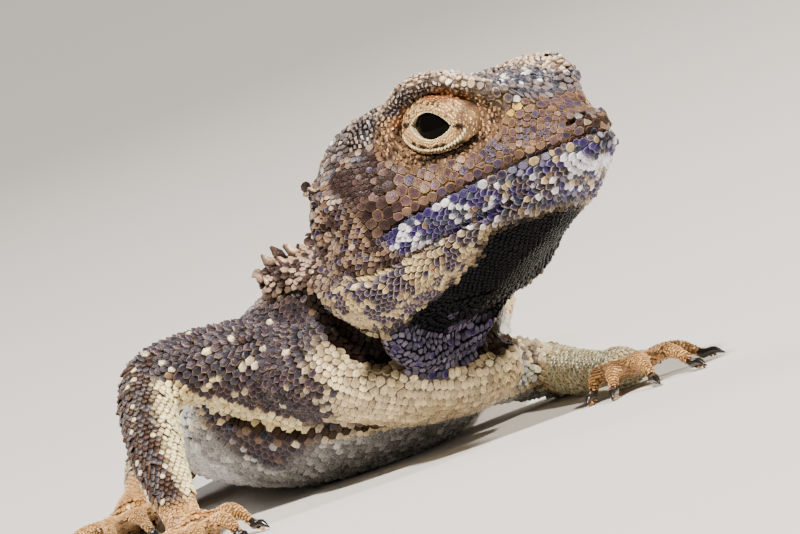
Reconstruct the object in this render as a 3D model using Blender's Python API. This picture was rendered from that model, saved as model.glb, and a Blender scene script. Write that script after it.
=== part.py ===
"""Pale agama at life size, whole and still, resting on its belly with the chest raised on the arms.

All shapes are drawn in millimetres and turned to metres at the end. The animal faces -Y, its left side
is +X, and the head is turned to its left. Each named object is one solid. Neighbours meet face to face,
0.3 mm apart, and everything rests on small flats at the level z = 0.
"""

import math
import random

import bmesh
import bpy
import numpy as np
from mathutils import Matrix, Vector

# Driving sizes, in millimetres and degrees.
GAP = 0.3
EYE_RADIUS = 2.3
EYE_BACK = 8.5
EYE_OUT = 3.0
EYE_UP = 3.95
LID_OPENING = (1.45, 2.2, 0.85)
HEAD_TIP = (14.9, -2.3, 16.5)
HEAD_TURN = 39.0
HEAD_PITCH = 6.6
HEAD_ROLL = 8.0
MOUTH_LENGTH = 13.3
MOUTH_SAG = 0.0052
EAR_BACK = 18.2
EAR_UP = 1.6
DIGIT_RADIUS = 0.62
CLAW_LENGTH = 1.5
SPINE_SIDES = 4

# Half of the head at stations behind the snout tip: distance, then height of the mid-line, half width and
# height at the brow, at the cheek and at the upper lip, then the lower jaw's edge and the throat.
HEAD_STATIONS = (
    (0.00, 0.45, 0.30, 0.40, 0.45, 0.20, 0.50, 0.40, -0.55, -0.65),
    (0.45, 1.05, 0.70, 0.95, 1.10, 0.50, 1.15, 0.85, -0.95, -1.20),
    (1.50, 1.80, 1.35, 1.75, 1.95, 1.05, 2.15, 1.60, -1.45, -1.80),
    (3.20, 3.40, 3.05, 3.50, 3.15, 2.00, 3.50, 2.55, -2.05, -2.60),
    (5.20, 5.20, 4.90, 5.55, 4.20, 3.10, 4.70, 3.70, -2.65, -3.65),
    (8.50, 6.70, 5.20, 7.10, 4.85, 4.20, 6.10, 5.00, -3.20, -4.90),
    (11.8, 6.90, 4.80, 6.70, 6.10, 4.20, 7.15, 6.40, -3.90, -5.90),
    (15.0, 6.75, 5.20, 6.35, 7.55, 3.60, 7.95, 7.50, -4.50, -6.80),
    (17.6, 6.15, 5.00, 5.55, 7.45, 3.00, 7.85, 7.80, -4.60, -7.20),
    (20.0, 4.80, 3.90, 4.10, 5.90, 2.10, 6.20, 6.40, -4.30, -6.80),
    (21.6, 3.30, 2.50, 2.70, 3.40, 1.10, 3.40, 3.40, -3.10, -5.00),
)

# Trunk from inside the head to the vent: centre, half width, height above and below it, roll.
TRUNK_STATIONS = (
    (2.6, 6.6, 14.6, 5.2, 4.8, 4.6, 6.0),
    (0.5, 10.2, 12.4, 6.0, 4.2, 5.4, 10.0),
    (-1.9, 13.6, 9.8, 8.1, 4.5, 6.0, 16.0),
    (-5.4, 19.4, 7.0, 9.8, 4.9, 7.0, 9.0),
    (-6.7, 26.0, 5.9, 11.2, 5.2, 6.1, 5.0),
    (-6.9, 36.0, 5.6, 12.2, 5.3, 5.8, 3.0),
    (-6.6, 46.0, 5.3, 12.2, 5.2, 5.4, 2.0),
    (-6.1, 56.0, 5.1, 9.9, 5.0, 5.2, 0.0),
    (-5.5, 64.0, 4.8, 7.2, 4.8, 4.9, 0.0),
    (-5.2, 71.5, 4.0, 5.0, 4.0, 4.1, 0.0),
)
TAIL_STATIONS = (
    (-5.2, 79.0, 3.35, 4.0, 3.3, 3.4, 0.0),
    (-5.9, 89.0, 2.75, 3.1, 2.8, 2.8, 0.0),
    (-6.1, 103.0, 2.15, 2.4, 2.2, 2.2, 0.0),
    (-4.4, 119.0, 1.65, 1.8, 1.7, 1.7, 0.0),
    (-0.6, 137.0, 1.20, 1.25, 1.2, 1.25, 0.0),
    (1.6, 156.0, 0.80, 0.85, 0.8, 0.85, 0.0),
    (1.4, 174.5, 0.45, 0.48, 0.45, 0.5, 0.0),
)
# The loose folds on each side of the neck, which carry the nape's spiny scales.
NECK_FOLDS = (
    ((-3.0, 13.0, 14.4, 0.7), (-5.2, 12.0, 13.9, 1.05), (-7.0, 11.1, 13.6, 1.2), (-8.1, 10.4, 12.9, 0.9)),
    ((1.0, 15.4, 14.6, 0.8), (3.8, 15.2, 13.2, 1.1), (5.5, 14.8, 11.6, 1.15), (5.9, 13.4, 9.8, 0.9)),
)
# The hollow under the jowls and the gular fold, between the head and the breast.
NECK_HOLLOW = (
    (-9.6, 10.9, 11.9, 0.5),
    (-8.1, 9.5, 11.7, 0.9),
    (-6.5, 7.8, 11.0, 1.3),
    (-5.0, 6.7, 9.5, 1.8),
    (-3.1, 6.9, 8.1, 1.8),
    (-0.6, 8.0, 6.9, 1.5),
    (2.6, 9.8, 6.2, 1.3),
    (5.6, 12.4, 6.8, 0.8),
)
TAIL_CUTS = (76.0, 99.0, 123.0, 148.0)
TORSO_CUT = 36.0
BREAST_SIZE = (8.9, 4.7, 3.7)
BREAST_PLACE = (-2.7, 11.9, 6.0)

# Each limb: its joints as points with a half thickness, then where the digits start and where they end.
LIMBS = {
    "arm_right": {
        "joints": (
            (-5.5, 14.6, 9.0, 3.0),
            (-10.4, 12.6, 9.6, 2.75),
            (-17.0, 14.0, 10.4, 2.0),
            (-18.4, 9.4, 6.6, 1.75),
            (-18.2, 5.2, 2.3, 1.3),
        ),
        "palm": ((-18.0, 4.2, 1.5, 1.45), (-17.4, 2.6, 1.15, 1.5)),
        "digits": (
            ((-16.6, 3.4, 1.2), (-15.1, 2.6, 1.9), (-13.9, 1.1, 0.55)),
            ((-16.9, 2.0, 1.2), (-15.6, -0.6, 1.7), (-14.9, -2.4, 0.5)),
            ((-17.6, 1.6, 1.2), (-17.5, -1.8, 1.7), (-17.3, -4.2, 0.5)),
            ((-18.3, 2.0, 1.2), (-19.6, -1.4, 1.6), (-20.3, -3.8, 0.5)),
            ((-18.9, 3.0, 1.2), (-21.0, 1.4, 1.5), (-22.6, 0.2, 0.5)),
        ),
        "names": ("upper_arm_right", "forearm_right", "hand_right"),
    },
    "arm_left": {
        "joints": (
            (0.3, 16.8, 4.6, 2.5),
            (3.4, 18.8, 3.4, 2.2),
            (6.9, 22.4, 1.9, 1.7),
            (8.3, 17.0, 1.6, 1.5),
            (10.0, 11.6, 1.5, 1.2),
        ),
        "palm": ((10.8, 10.4, 1.4, 1.4), (11.2, 8.8, 1.15, 1.45)),
        "digits": (
            ((10.2, 9.0, 1.2), (9.3, 7.4, 1.6), (8.6, 6.0, 0.5)),
            ((10.7, 8.0, 1.2), (10.3, 5.4, 1.7), (9.9, 3.5, 0.5)),
            ((11.4, 7.8, 1.2), (12.1, 4.7, 1.8), (12.5, 2.3, 0.5)),
            ((12.1, 8.2, 1.2), (14.0, 5.5, 1.7), (15.2, 3.4, 0.5)),
            ((12.3, 9.4, 1.2), (14.5, 8.8, 1.5), (16.2, 8.0, 0.5)),
        ),
        "names": ("upper_arm_left", "forearm_left", "hand_left"),
    },
    "leg_right": {
        "joints": (
            (-7.6, 65.5, 4.8, 4.0),
            (-12.2, 60.0, 4.7, 3.6),
            (-16.9, 53.0, 4.4, 2.4),
            (-19.5, 46.4, 3.2, 2.3),
            (-21.3, 39.4, 1.8, 1.35),
        ),
        "palm": ((-21.7, 38.0, 1.5, 1.5), (-22.1, 34.2, 1.15, 1.6)),
        "digits": (
            ((-21.4, 34.0, 1.2), (-19.6, 31.6, 1.5), (-18.8, 30.0, 0.5)),
            ((-21.9, 33.0, 1.2), (-20.2, 29.4, 1.7), (-19.3, 27.0, 0.5)),
            ((-22.6, 32.8, 1.2), (-21.6, 27.6, 1.8), (-20.9, 24.2, 0.5)),
            ((-23.3, 33.0, 1.2), (-23.6, 27.0, 1.8), (-23.4, 22.6, 0.5)),
            ((-23.7, 34.4, 1.2), (-25.8, 31.6, 1.5), (-27.0, 29.6, 0.5)),
        ),
        "names": ("thigh_right", "shank_right", "foot_right"),
    },
    "leg_left": {
        "joints": (
            (-3.0, 65.5, 4.6, 3.9),
            (0.9, 70.4, 4.5, 3.5),
            (4.4, 78.0, 4.0, 2.4),
            (3.1, 86.0, 2.9, 2.25),
            (1.4, 94.0, 1.7, 1.3),
        ),
        "palm": ((1.1, 95.6, 1.5, 1.45), (1.1, 99.2, 1.15, 1.5)),
        "digits": (
            ((2.2, 98.8, 1.2), (4.0, 100.0, 1.5), (5.2, 101.2, 0.5)),
            ((2.3, 100.0, 1.2), (4.0, 103.4, 1.7), (4.9, 106.0, 0.5)),
            ((1.7, 100.8, 1.2), (2.6, 105.8, 1.8), (3.2, 109.2, 0.5)),
            ((1.0, 100.8, 1.2), (0.9, 106.6, 1.8), (0.7, 110.8, 0.5)),
            ((0.3, 99.8, 1.2), (-1.2, 102.6, 1.5), (-1.9, 104.8, 0.5)),
        ),
        "names": ("thigh_left", "shank_left", "foot_left"),
    },
}

# Triangles that each body keeps before it is cut.
TRIANGLES = {"head": 2600, "trunk": 2700, "limb": 950}
VOXEL = {"head": 0.24, "trunk": 0.5, "limb": 0.2}

COLOURS = {
    "head": (0.62, 0.53, 0.42),
    "neck": (0.60, 0.50, 0.40),
    "torso": (0.72, 0.66, 0.55),
    "tail": (0.66, 0.56, 0.42),
    "limb": (0.62, 0.55, 0.46),
    "eye": (0.02, 0.015, 0.01),
}


def clear_scene():
    for old in list(bpy.data.objects):
        bpy.data.objects.remove(old, do_unlink=True)


def smooth_rows(rows, steps):
    """Rows of numbers read at even steps along a smooth curve through the given rows."""
    rows = np.array(rows, float)
    last = len(rows) - 1
    found = []
    for place in np.linspace(0, last, steps):
        i = min(int(place), last - 1)
        t = place - i
        before = rows[i - 1] if i > 0 else 2 * rows[0] - rows[1]
        after = rows[i + 2] if i < last - 1 else 2 * rows[last] - rows[last - 1]
        a = 2 * rows[i]
        b = rows[i + 1] - before
        c = 2 * before - 5 * rows[i] + 4 * rows[i + 1] - after
        d = 3 * rows[i] - before - 3 * rows[i + 1] + after
        found.append((a + b * t + c * t**2 + d * t**3) / 2)
    return np.array(found)


def new_object(name, mesh):
    obj = bpy.data.objects.new(name, mesh)
    bpy.context.scene.collection.objects.link(obj)
    return obj


def rings_to_object(name, rings):
    """A closed tube through rings of points, with a flat cap at each end."""
    form = bmesh.new()
    loops = [[form.verts.new(point) for point in ring] for ring in rings]
    for near, far in zip(loops, loops[1:]):
        for i in range(len(near)):
            j = (i + 1) % len(near)
            form.faces.new((near[i], near[j], far[j], far[i]))
    form.faces.new(loops[0])
    form.faces.new(loops[-1])
    bmesh.ops.recalc_face_normals(form, faces=form.faces)
    mesh = bpy.data.meshes.new(name)
    form.to_mesh(mesh)
    form.free()
    return new_object(name, mesh)


def body_tube(name, stations, steps, sides):
    """A tube for trunk and tail: centre, half width, height above and below, roll at each station."""
    rows = smooth_rows(stations, steps)
    tangents = np.gradient(rows[:, :3], axis=0)
    rings = []
    for row, tangent in zip(rows, tangents):
        run = Vector(tangent).normalized()
        side = run.cross(Vector((0, 0, 1))).normalized()
        up = side.cross(run)
        turn = Matrix.Rotation(math.radians(row[6]), 3, run)
        side = turn @ side
        up = turn @ up
        ring = []
        for i in range(sides):
            angle = math.tau * i / sides
            across = row[3] * math.copysign(abs(math.cos(angle)) ** 0.85, math.cos(angle))
            height = (row[4] if math.sin(angle) > 0 else row[5]) * math.sin(angle)
            ring.append(Vector(row[:3]) + side * across + up * height)
        rings.append(ring)
    return rings_to_object(name, rings)


def round_tube(name, points, sides, steps):
    """A round tube through points that each carry a half thickness."""
    rows = smooth_rows(points, steps)
    tangents = np.gradient(rows[:, :3], axis=0)
    rings = []
    side = Vector((0, 0, 1)).cross(Vector(tangents[0])).normalized()
    for row, tangent in zip(rows, tangents):
        run = Vector(tangent).normalized()
        side = (side - run * side.dot(run)).normalized()
        up = run.cross(side)
        ring = []
        for i in range(sides):
            angle = math.tau * i / sides
            reach = side * math.cos(angle) + up * math.sin(angle)
            ring.append(Vector(row[:3]) + reach * row[3])
        rings.append(ring)
    return rings_to_object(name, rings)


def ball(name, centre, radii, segments=16):
    form = bmesh.new()
    bmesh.ops.create_uvsphere(form, u_segments=segments, v_segments=segments // 2, radius=1)
    bmesh.ops.scale(form, vec=radii, verts=form.verts)
    bmesh.ops.translate(form, vec=centre, verts=form.verts)
    mesh = bpy.data.meshes.new(name)
    form.to_mesh(mesh)
    form.free()
    return new_object(name, mesh)


def box(name, centre, size, turn=None):
    form = bmesh.new()
    bmesh.ops.create_cube(form, size=1)
    bmesh.ops.scale(form, vec=size, verts=form.verts)
    if turn:
        bmesh.ops.transform(form, matrix=turn, verts=form.verts)
    bmesh.ops.translate(form, vec=centre, verts=form.verts)
    mesh = bpy.data.meshes.new(name)
    form.to_mesh(mesh)
    form.free()
    return new_object(name, mesh)


def use(obj, kind, **settings):
    """Adds a modifier to an object and applies it."""
    modifier = obj.modifiers.new(kind.title(), kind)
    for key, value in settings.items():
        setattr(modifier, key, value)
    with bpy.context.temp_override(object=obj, active_object=obj, selected_objects=[obj]):
        bpy.ops.object.modifier_apply(modifier=modifier.name)


def combine(obj, others, operation, solver="EXACT"):
    """One Boolean on a collection of closed objects, which are removed afterwards."""
    group = bpy.data.collections.new("joined")
    bpy.context.scene.collection.children.link(group)
    for other in others:
        group.objects.link(other)
    bpy.context.view_layer.update()
    use(obj, "BOOLEAN", operand_type="COLLECTION", collection=group, operation=operation, solver=solver)
    for other in others:
        bpy.data.objects.remove(other, do_unlink=True)
    bpy.data.collections.remove(group)
    keep_largest(obj)


def bodies_of(form):
    """The separate surfaces of a bmesh, as lists of faces."""
    left = set(form.faces)
    found = []
    while left:
        seed = left.pop()
        body = [seed]
        reached = [seed]
        while reached:
            face = reached.pop()
            for edge in face.edges:
                for other in edge.link_faces:
                    if other in left:
                        left.remove(other)
                        body.append(other)
                        reached.append(other)
        found.append(body)
    return found


def enclosed(faces):
    """The volume inside a closed list of faces."""
    total = 0.0
    for face in faces:
        first = face.verts[0].co
        for near, far in zip(face.verts[1:], face.verts[2:]):
            total += first.dot(near.co.cross(far.co)) / 6
    return abs(total)


def keep_largest(obj):
    form = bmesh.new()
    form.from_mesh(obj.data)
    bodies = sorted(bodies_of(form), key=enclosed)
    for body in bodies[:-1]:
        bmesh.ops.delete(form, geom=body, context="FACES")
    loose = [vert for vert in form.verts if not vert.link_faces]
    bmesh.ops.delete(form, geom=loose, context="VERTS")
    form.to_mesh(obj.data)
    form.free()


def triangulate(obj):
    form = bmesh.new()
    form.from_mesh(obj.data)
    bmesh.ops.triangulate(form, faces=form.faces)
    form.to_mesh(obj.data)
    form.free()


def soften(obj, voxel, rounds, triangles):
    """One even surface from the joined forms, smoothed and thinned to a number of triangles."""
    use(obj, "REMESH", mode="VOXEL", voxel_size=voxel)
    use(obj, "SMOOTH", factor=0.5, iterations=rounds)
    triangulate(obj)
    use(obj, "DECIMATE", ratio=min(1.0, triangles / len(obj.data.polygons)))


def copy_of(obj, name):
    return new_object(name, obj.data.copy())


def grown(obj, amount):
    """A copy whose surface stands a little further out, to cut a neighbour clear."""
    copy = copy_of(obj, obj.name + "_grown")
    form = bmesh.new()
    form.from_mesh(copy.data)
    form.normal_update()
    for vert in form.verts:
        vert.co += vert.normal * amount
    form.to_mesh(copy.data)
    form.free()
    return copy


def head_axes():
    """Forward, left and up of the head, and the place of its snout tip."""
    turn = math.radians(HEAD_TURN)
    pitch = math.radians(HEAD_PITCH)
    forward = Vector((math.cos(turn) * math.cos(pitch), -math.sin(turn) * math.cos(pitch), math.sin(pitch)))
    level = Vector((math.sin(turn), math.cos(turn), 0))
    roll = Matrix.Rotation(math.radians(HEAD_ROLL), 3, forward)
    left = (roll @ level).normalized()
    up = forward.cross(left)
    if left.z > 0:
        left = (roll.inverted() @ level).normalized()
        up = forward.cross(left)
    return forward, left, up


def head_matrix():
    """Takes head places (back from the tip, out to the left, up from the mouth line) to the model."""
    forward, left, up = head_axes()
    turn = Matrix((-forward, left, up)).transposed().to_4x4()
    return Matrix.Translation(HEAD_TIP) @ turn


def into_head(obj):
    """Moves a form from head places to the model. Head places are a mirror image, so its faces are turned."""
    obj.data.transform(head_matrix())
    obj.data.flip_normals()


def head_ring(row, half_steps):
    """The outline of the head at one station, from the mid-line of the crown round both sides."""
    back, crown, brow_out, brow_up, cheek_out, cheek_up, lip_out, jaw_out, jaw_up, throat = row
    half = (
        (0.0, crown),
        (brow_out * 0.55, (crown + brow_up) / 2 + 0.05),
        (brow_out, brow_up),
        (cheek_out, cheek_up),
        (lip_out, 0.25),
        (lip_out * 0.98, -0.5),
        (jaw_out, jaw_up),
        (jaw_out * 0.55, (jaw_up + throat * 2) / 3),
        (0.0, throat),
    )
    curve = smooth_rows(half, half_steps)
    curve[0][0] = 0.0
    curve[-1][0] = 0.0
    right = [(back, -out, up) for out, up in curve[1:-1]]
    left = [(back, out, up) for out, up in curve]
    return left + right[::-1]


def eye_centre(side):
    return head_matrix() @ Vector((EYE_BACK, side * EYE_OUT, EYE_UP))


def head_tube(name, places, sides=8, steps=14):
    """A round tube given in head places, each with a half thickness."""
    matrix = head_matrix()
    points = [tuple(matrix @ Vector(place[:3])) + (place[3],) for place in places]
    return round_tube(name, points, sides, steps)


def head_ball(name, place, radii):
    """An egg shape given in head places, along the head's own axes."""
    obj = ball(name, place, radii)
    into_head(obj)
    return obj


def make_head():
    rings = [head_ring(row, 17) for row in smooth_rows(HEAD_STATIONS, 34)]
    head = rings_to_object("head", rings)
    into_head(head)
    added = []
    for side in (-1, 1):
        out = side * EYE_OUT
        # The bulge of the lids over the eye, the brow's shelf above it, the jowl and the gular fold.
        added.append(head_ball("lids", (EYE_BACK + 0.3, out, EYE_UP), (3.5, 3.2, 2.5)))
        brow = (
            (3.4, side * 3.0, 3.6, 0.4),
            (4.8, side * 4.6, 5.0, 0.6),
            (6.6, side * 5.2, 6.2, 0.75),
            (9.0, side * 5.35, 6.65, 0.8),
            (11.4, side * 5.1, 6.2, 0.65),
            (13.2, side * 5.4, 5.2, 0.4),
        )
        added.append(head_tube("brow", brow))
        jowl = (
            (9.5, side * 4.3, -3.1, 0.5),
            (12.5, side * 5.7, -3.8, 1.1),
            (16.5, side * 6.9, -3.9, 1.8),
            (19.2, side * 5.9, -2.9, 1.9),
        )
        added.append(head_tube("jowl", jowl, sides=10))
        nose = (1.0, side * 1.05, 1.1)
        added.append(head_ball("nose", nose, (0.75, 0.6, 0.5)))
    gular = (
        (16.6, -6.0, -5.6, 0.8),
        (18.4, -3.4, -7.4, 1.2),
        (19.0, 0.0, -8.0, 1.3),
        (18.4, 3.0, -7.4, 1.1),
        (16.6, 5.4, -5.6, 0.7),
    )
    added.append(head_tube("gular", gular, sides=10))
    added.append(lip(0.5))
    added.append(lip(-0.5))
    combine(head, added, "UNION")
    soften(head, VOXEL["head"], 5, TRIANGLES["head"])
    return head


def mouth_path():
    """Places back and out along the lips, from corner to corner round the snout tip."""
    places = []
    for row in smooth_rows(HEAD_STATIONS, 60)[::3]:
        if row[0] < MOUTH_LENGTH:
            places.append((row[0], row[6]))
    return [(back, -out) for back, out in reversed(places)] + places


def mouth_height(back):
    return -0.1 - MOUTH_SAG * back * back


def lip(above):
    """The roll of one lip, a little above or below the mouth line."""
    places = []
    for back, out in mouth_path():
        inner = max(abs(out) - 0.22, 0.0)
        places.append((back + 0.2, math.copysign(inner, out), mouth_height(back) + above, 0.42))
    return head_tube("lip", places, steps=50)


def mouth_cutter(name):
    """A thin wedge along the mouth line."""
    path = mouth_path()
    matrix = head_matrix()
    rings = []
    for i, (back, out) in enumerate(path):
        near = path[max(i - 1, 0)]
        far = path[min(i + 1, len(path) - 1)]
        run = Vector((far[0] - near[0], far[1] - near[1], 0)).normalized()
        outward = Vector((run.y, -run.x, 0))
        if outward.y * out < 0 or (abs(out) < 0.3 and outward.x > 0):
            outward = -outward
        centre = Vector((back, out, mouth_height(back)))
        ring = (
            centre + outward * 0.6 + Vector((0, 0, 0.34)),
            centre - outward * 0.5,
            centre + outward * 0.6 - Vector((0, 0, 0.34)),
        )
        rings.append([matrix @ point for point in ring])
    return rings_to_object(name, rings)


def cut_head(head):
    """Mouth line, nostrils and ear cups, then the lids' openings, then the sockets behind them."""
    openings = [mouth_cutter("mouth")]
    sockets = []
    for side in (-1, 1):
        opening = (EYE_BACK - 0.1, side * (EYE_OUT + 3.3), EYE_UP)
        openings.append(head_ball("opening", opening, LID_OPENING))
        openings.append(head_ball("nostril", (1.1, side * 1.55, 1.05), (0.3, 0.5, 0.26)))
        openings.append(head_ball("ear", (EAR_BACK, side * 7.6, EAR_UP), (1.0, 1.7, 1.3)))
        sockets.append(ball("socket", eye_centre(side), (EYE_RADIUS + GAP,) * 3))
    combine(head, openings, "DIFFERENCE")
    combine(head, sockets, "DIFFERENCE")


def make_eye(name, side):
    return ball(name, eye_centre(side), (EYE_RADIUS,) * 3)


def make_trunk():
    trunk = body_tube("trunk", TRUNK_STATIONS + TAIL_STATIONS, 130, 28)
    breast = ball("breast", (0, 0, 0), BREAST_SIZE)
    breast.data.transform(Matrix.Rotation(math.radians(14), 4, "Z") @ Matrix.Rotation(math.radians(19), 4, "Y"))
    breast.data.transform(Matrix.Translation(BREAST_PLACE))
    added = [breast]
    for fold in NECK_FOLDS:
        added.append(round_tube("fold", fold, 10, 12))
    combine(trunk, added, "UNION")
    combine(trunk, [round_tube("hollow", NECK_HOLLOW, 12, 24)], "DIFFERENCE")
    soften(trunk, VOXEL["trunk"], 4, TRIANGLES["trunk"])
    return trunk


def make_limb(name, limb):
    """One arm or leg down to its claws, before it is cut clear of the trunk."""
    body = round_tube(name, limb["joints"], 12, 26)
    added = [ball("joint", limb["joints"][2][:3], (limb["joints"][2][3] * 1.02,) * 3)]
    wrist = limb["joints"][-1]
    heel, ball_of_hand = limb["palm"]
    added.append(round_tube("palm", (wrist, heel, ball_of_hand), 10, 8))
    for start, knuckle, end in limb["digits"]:
        thick = DIGIT_RADIUS
        root = Vector(ball_of_hand[:3]).lerp(Vector(start), 0.4)
        digit = (tuple(root) + (thick,), start + (thick * 1.1,), knuckle + (thick,), end + (thick * 0.62,))
        added.append(round_tube("digit", digit, 8, 12))
        reach = (Vector(end) - Vector(knuckle)).normalized()
        tip = Vector(end) + reach * CLAW_LENGTH
        claw = (tuple(end) + (0.42,), tuple(Vector(end).lerp(tip, 0.5) + Vector((0, 0, 0.12))) + (0.3,))
        claw += ((tip.x, tip.y, 0.12, 0.1),)
        added.append(round_tube("claw", claw, 6, 6))
    combine(body, added, "UNION")
    soften(body, VOXEL["limb"], 2, TRIANGLES["limb"])
    return body


def cut_floor(obj):
    """The small flats that the animal rests on."""
    low = box("floor", (0, 80, -10), (200, 400, 20))
    combine(obj, [low], "DIFFERENCE")


def plane_turn(normal):
    return Vector((0, 0, 1)).rotation_difference(Vector(normal)).to_matrix().to_4x4()


def part(obj, cuts, names):
    """Parts a body by thin cuts, each a centre, a normal and a size, and names the pieces in order."""
    slabs = [box("slab", centre, (size, size, GAP), plane_turn(normal)) for centre, normal, size in cuts]
    group = bpy.data.collections.new("slabs")
    bpy.context.scene.collection.children.link(group)
    for slab in slabs:
        group.objects.link(slab)
    bpy.context.view_layer.update()
    use(obj, "BOOLEAN", operand_type="COLLECTION", collection=group, operation="DIFFERENCE", solver="EXACT")
    for slab in slabs:
        bpy.data.objects.remove(slab, do_unlink=True)
    bpy.data.collections.remove(group)
    form = bmesh.new()
    form.from_mesh(obj.data)
    bodies = sorted(bodies_of(form), key=enclosed)[-len(names):]
    pieces = []
    for body in bodies:
        points = {vert.index: vert.co.copy() for face in body for vert in face.verts}
        centre = sum(points.values(), Vector()) / len(points)
        order = {key: i for i, key in enumerate(points)}
        faces = [[order[vert.index] for vert in face.verts] for face in body]
        mesh = bpy.data.meshes.new("piece")
        mesh.from_pydata([tuple(point) for point in points.values()], [], faces)
        pieces.append((centre, new_object("piece", mesh)))
    form.free()
    bpy.data.objects.remove(obj, do_unlink=True)
    return pieces


def name_pieces(pieces, centres):
    """Gives each piece the name of the nearest stated centre."""
    found = {}
    left = dict(centres)
    for centre, piece in pieces:
        name = min(left, key=lambda key: (left[key] - centre).length)
        piece.name = name
        found[name] = piece
        left.pop(name)
    return found


def limb_pieces(limb, body):
    joints = [Vector(joint[:3]) for joint in limb["joints"]]
    elbow = joints[2]
    fold = ((joints[3] - elbow).normalized() - (joints[1] - elbow).normalized()).normalized()
    wrist = joints[4]
    reach = (wrist - joints[3]).normalized()
    wide = limb["joints"][2][3] * 5
    cuts = ((elbow, fold, wide), (wrist, reach, limb["joints"][4][3] * 4.5))
    pieces = part(body, cuts, limb["names"])
    hand = sum((Vector(digit[1]) for digit in limb["digits"]), Vector()) / len(limb["digits"])
    centres = dict(zip(limb["names"], ((joints[1] + elbow) / 2, (joints[3] + (elbow + wrist) / 2) / 2, hand)))
    return name_pieces(pieces, centres)


def spine(name, root, out, lean, length, width):
    """One tapered spine of few sides, its root sunk into the body."""
    axis = (out + lean).normalized()
    side = axis.orthogonal().normalized()
    across = axis.cross(side)
    rings = []
    for reach, half in ((-0.5, 1.0), (0.35, 0.8), (1.0, 0.12)):
        centre = root + axis * length * reach
        ring = []
        for i in range(SPINE_SIDES):
            angle = math.tau * i / SPINE_SIDES
            ring.append(centre + (side * math.cos(angle) + across * math.sin(angle)) * width * half)
        rings.append(ring)
    return rings_to_object(name, rings)


def spines_on(obj, seeds, length, width, lean, rng):
    """Spines where lines from the seeds meet the body, each leaning the given way."""
    made = []
    for origin, aim in seeds:
        hit, place, normal, _ = obj.ray_cast(origin, aim)
        if not hit:
            continue
        size = rng.uniform(0.8, 1.2)
        tilt = Vector(lean) * rng.uniform(0.8, 1.2)
        made.append(spine("spine", place, normal, tilt, length * size, width * size))
    return made


def neck_seeds():
    """Two rows of lines towards the crest of each neck fold."""
    seeds = []
    for fold, side in zip(NECK_FOLDS, (-1, 1)):
        for place in smooth_rows(fold, 8)[1:6]:
            for lift in (0.1, 0.9):
                aim = Vector((side, 0.25, lift)).normalized()
                seeds.append((Vector(place[:3]) + aim * 6, -aim))
    return seeds


def ear_seeds():
    """Lines towards the rim of each ear, behind and above it."""
    matrix = head_matrix()
    seeds = []
    for side in (-1, 1):
        for i in range(5):
            angle = math.radians(-20 + i * 32)
            place = Vector((EAR_BACK - 1.55 * math.cos(angle), side * 12, EAR_UP + 1.8 * math.sin(angle)))
            inward = Vector((place.x, 0, place.z))
            origin = matrix @ place
            seeds.append((origin, ((matrix @ inward) - origin).normalized()))
    return seeds


def back_seeds(low, high, rng):
    """Enlarged scales scattered in cross rows over the back."""
    seeds = []
    y = low
    while y < high:
        for x in np.arange(-14, 6, 4.2):
            origin = Vector((x + rng.uniform(-1, 1), y + rng.uniform(-0.8, 0.8), 30))
            seeds.append((origin, Vector((0, 0, -1))))
        y += 5.0
    return seeds


def finish(obj, kind, offset):
    """Sets an object in metres, on the row's origin, with its material."""
    obj.data.transform(Matrix.Scale(0.001, 4) @ Matrix.Translation(offset))
    skin = bpy.data.materials.get(kind) or bpy.data.materials.new(kind)
    skin.use_nodes = True
    shader = skin.node_tree.nodes["Principled BSDF"]
    shader.inputs["Base Color"].default_value = COLOURS[kind] + (1,)
    shader.inputs["Roughness"].default_value = 0.08 if kind == "eye" else 0.6
    obj.data.materials.clear()
    obj.data.materials.append(skin)
    obj.data.shade_smooth()
    obj.data.set_sharp_from_angle(angle=math.radians(40))


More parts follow.
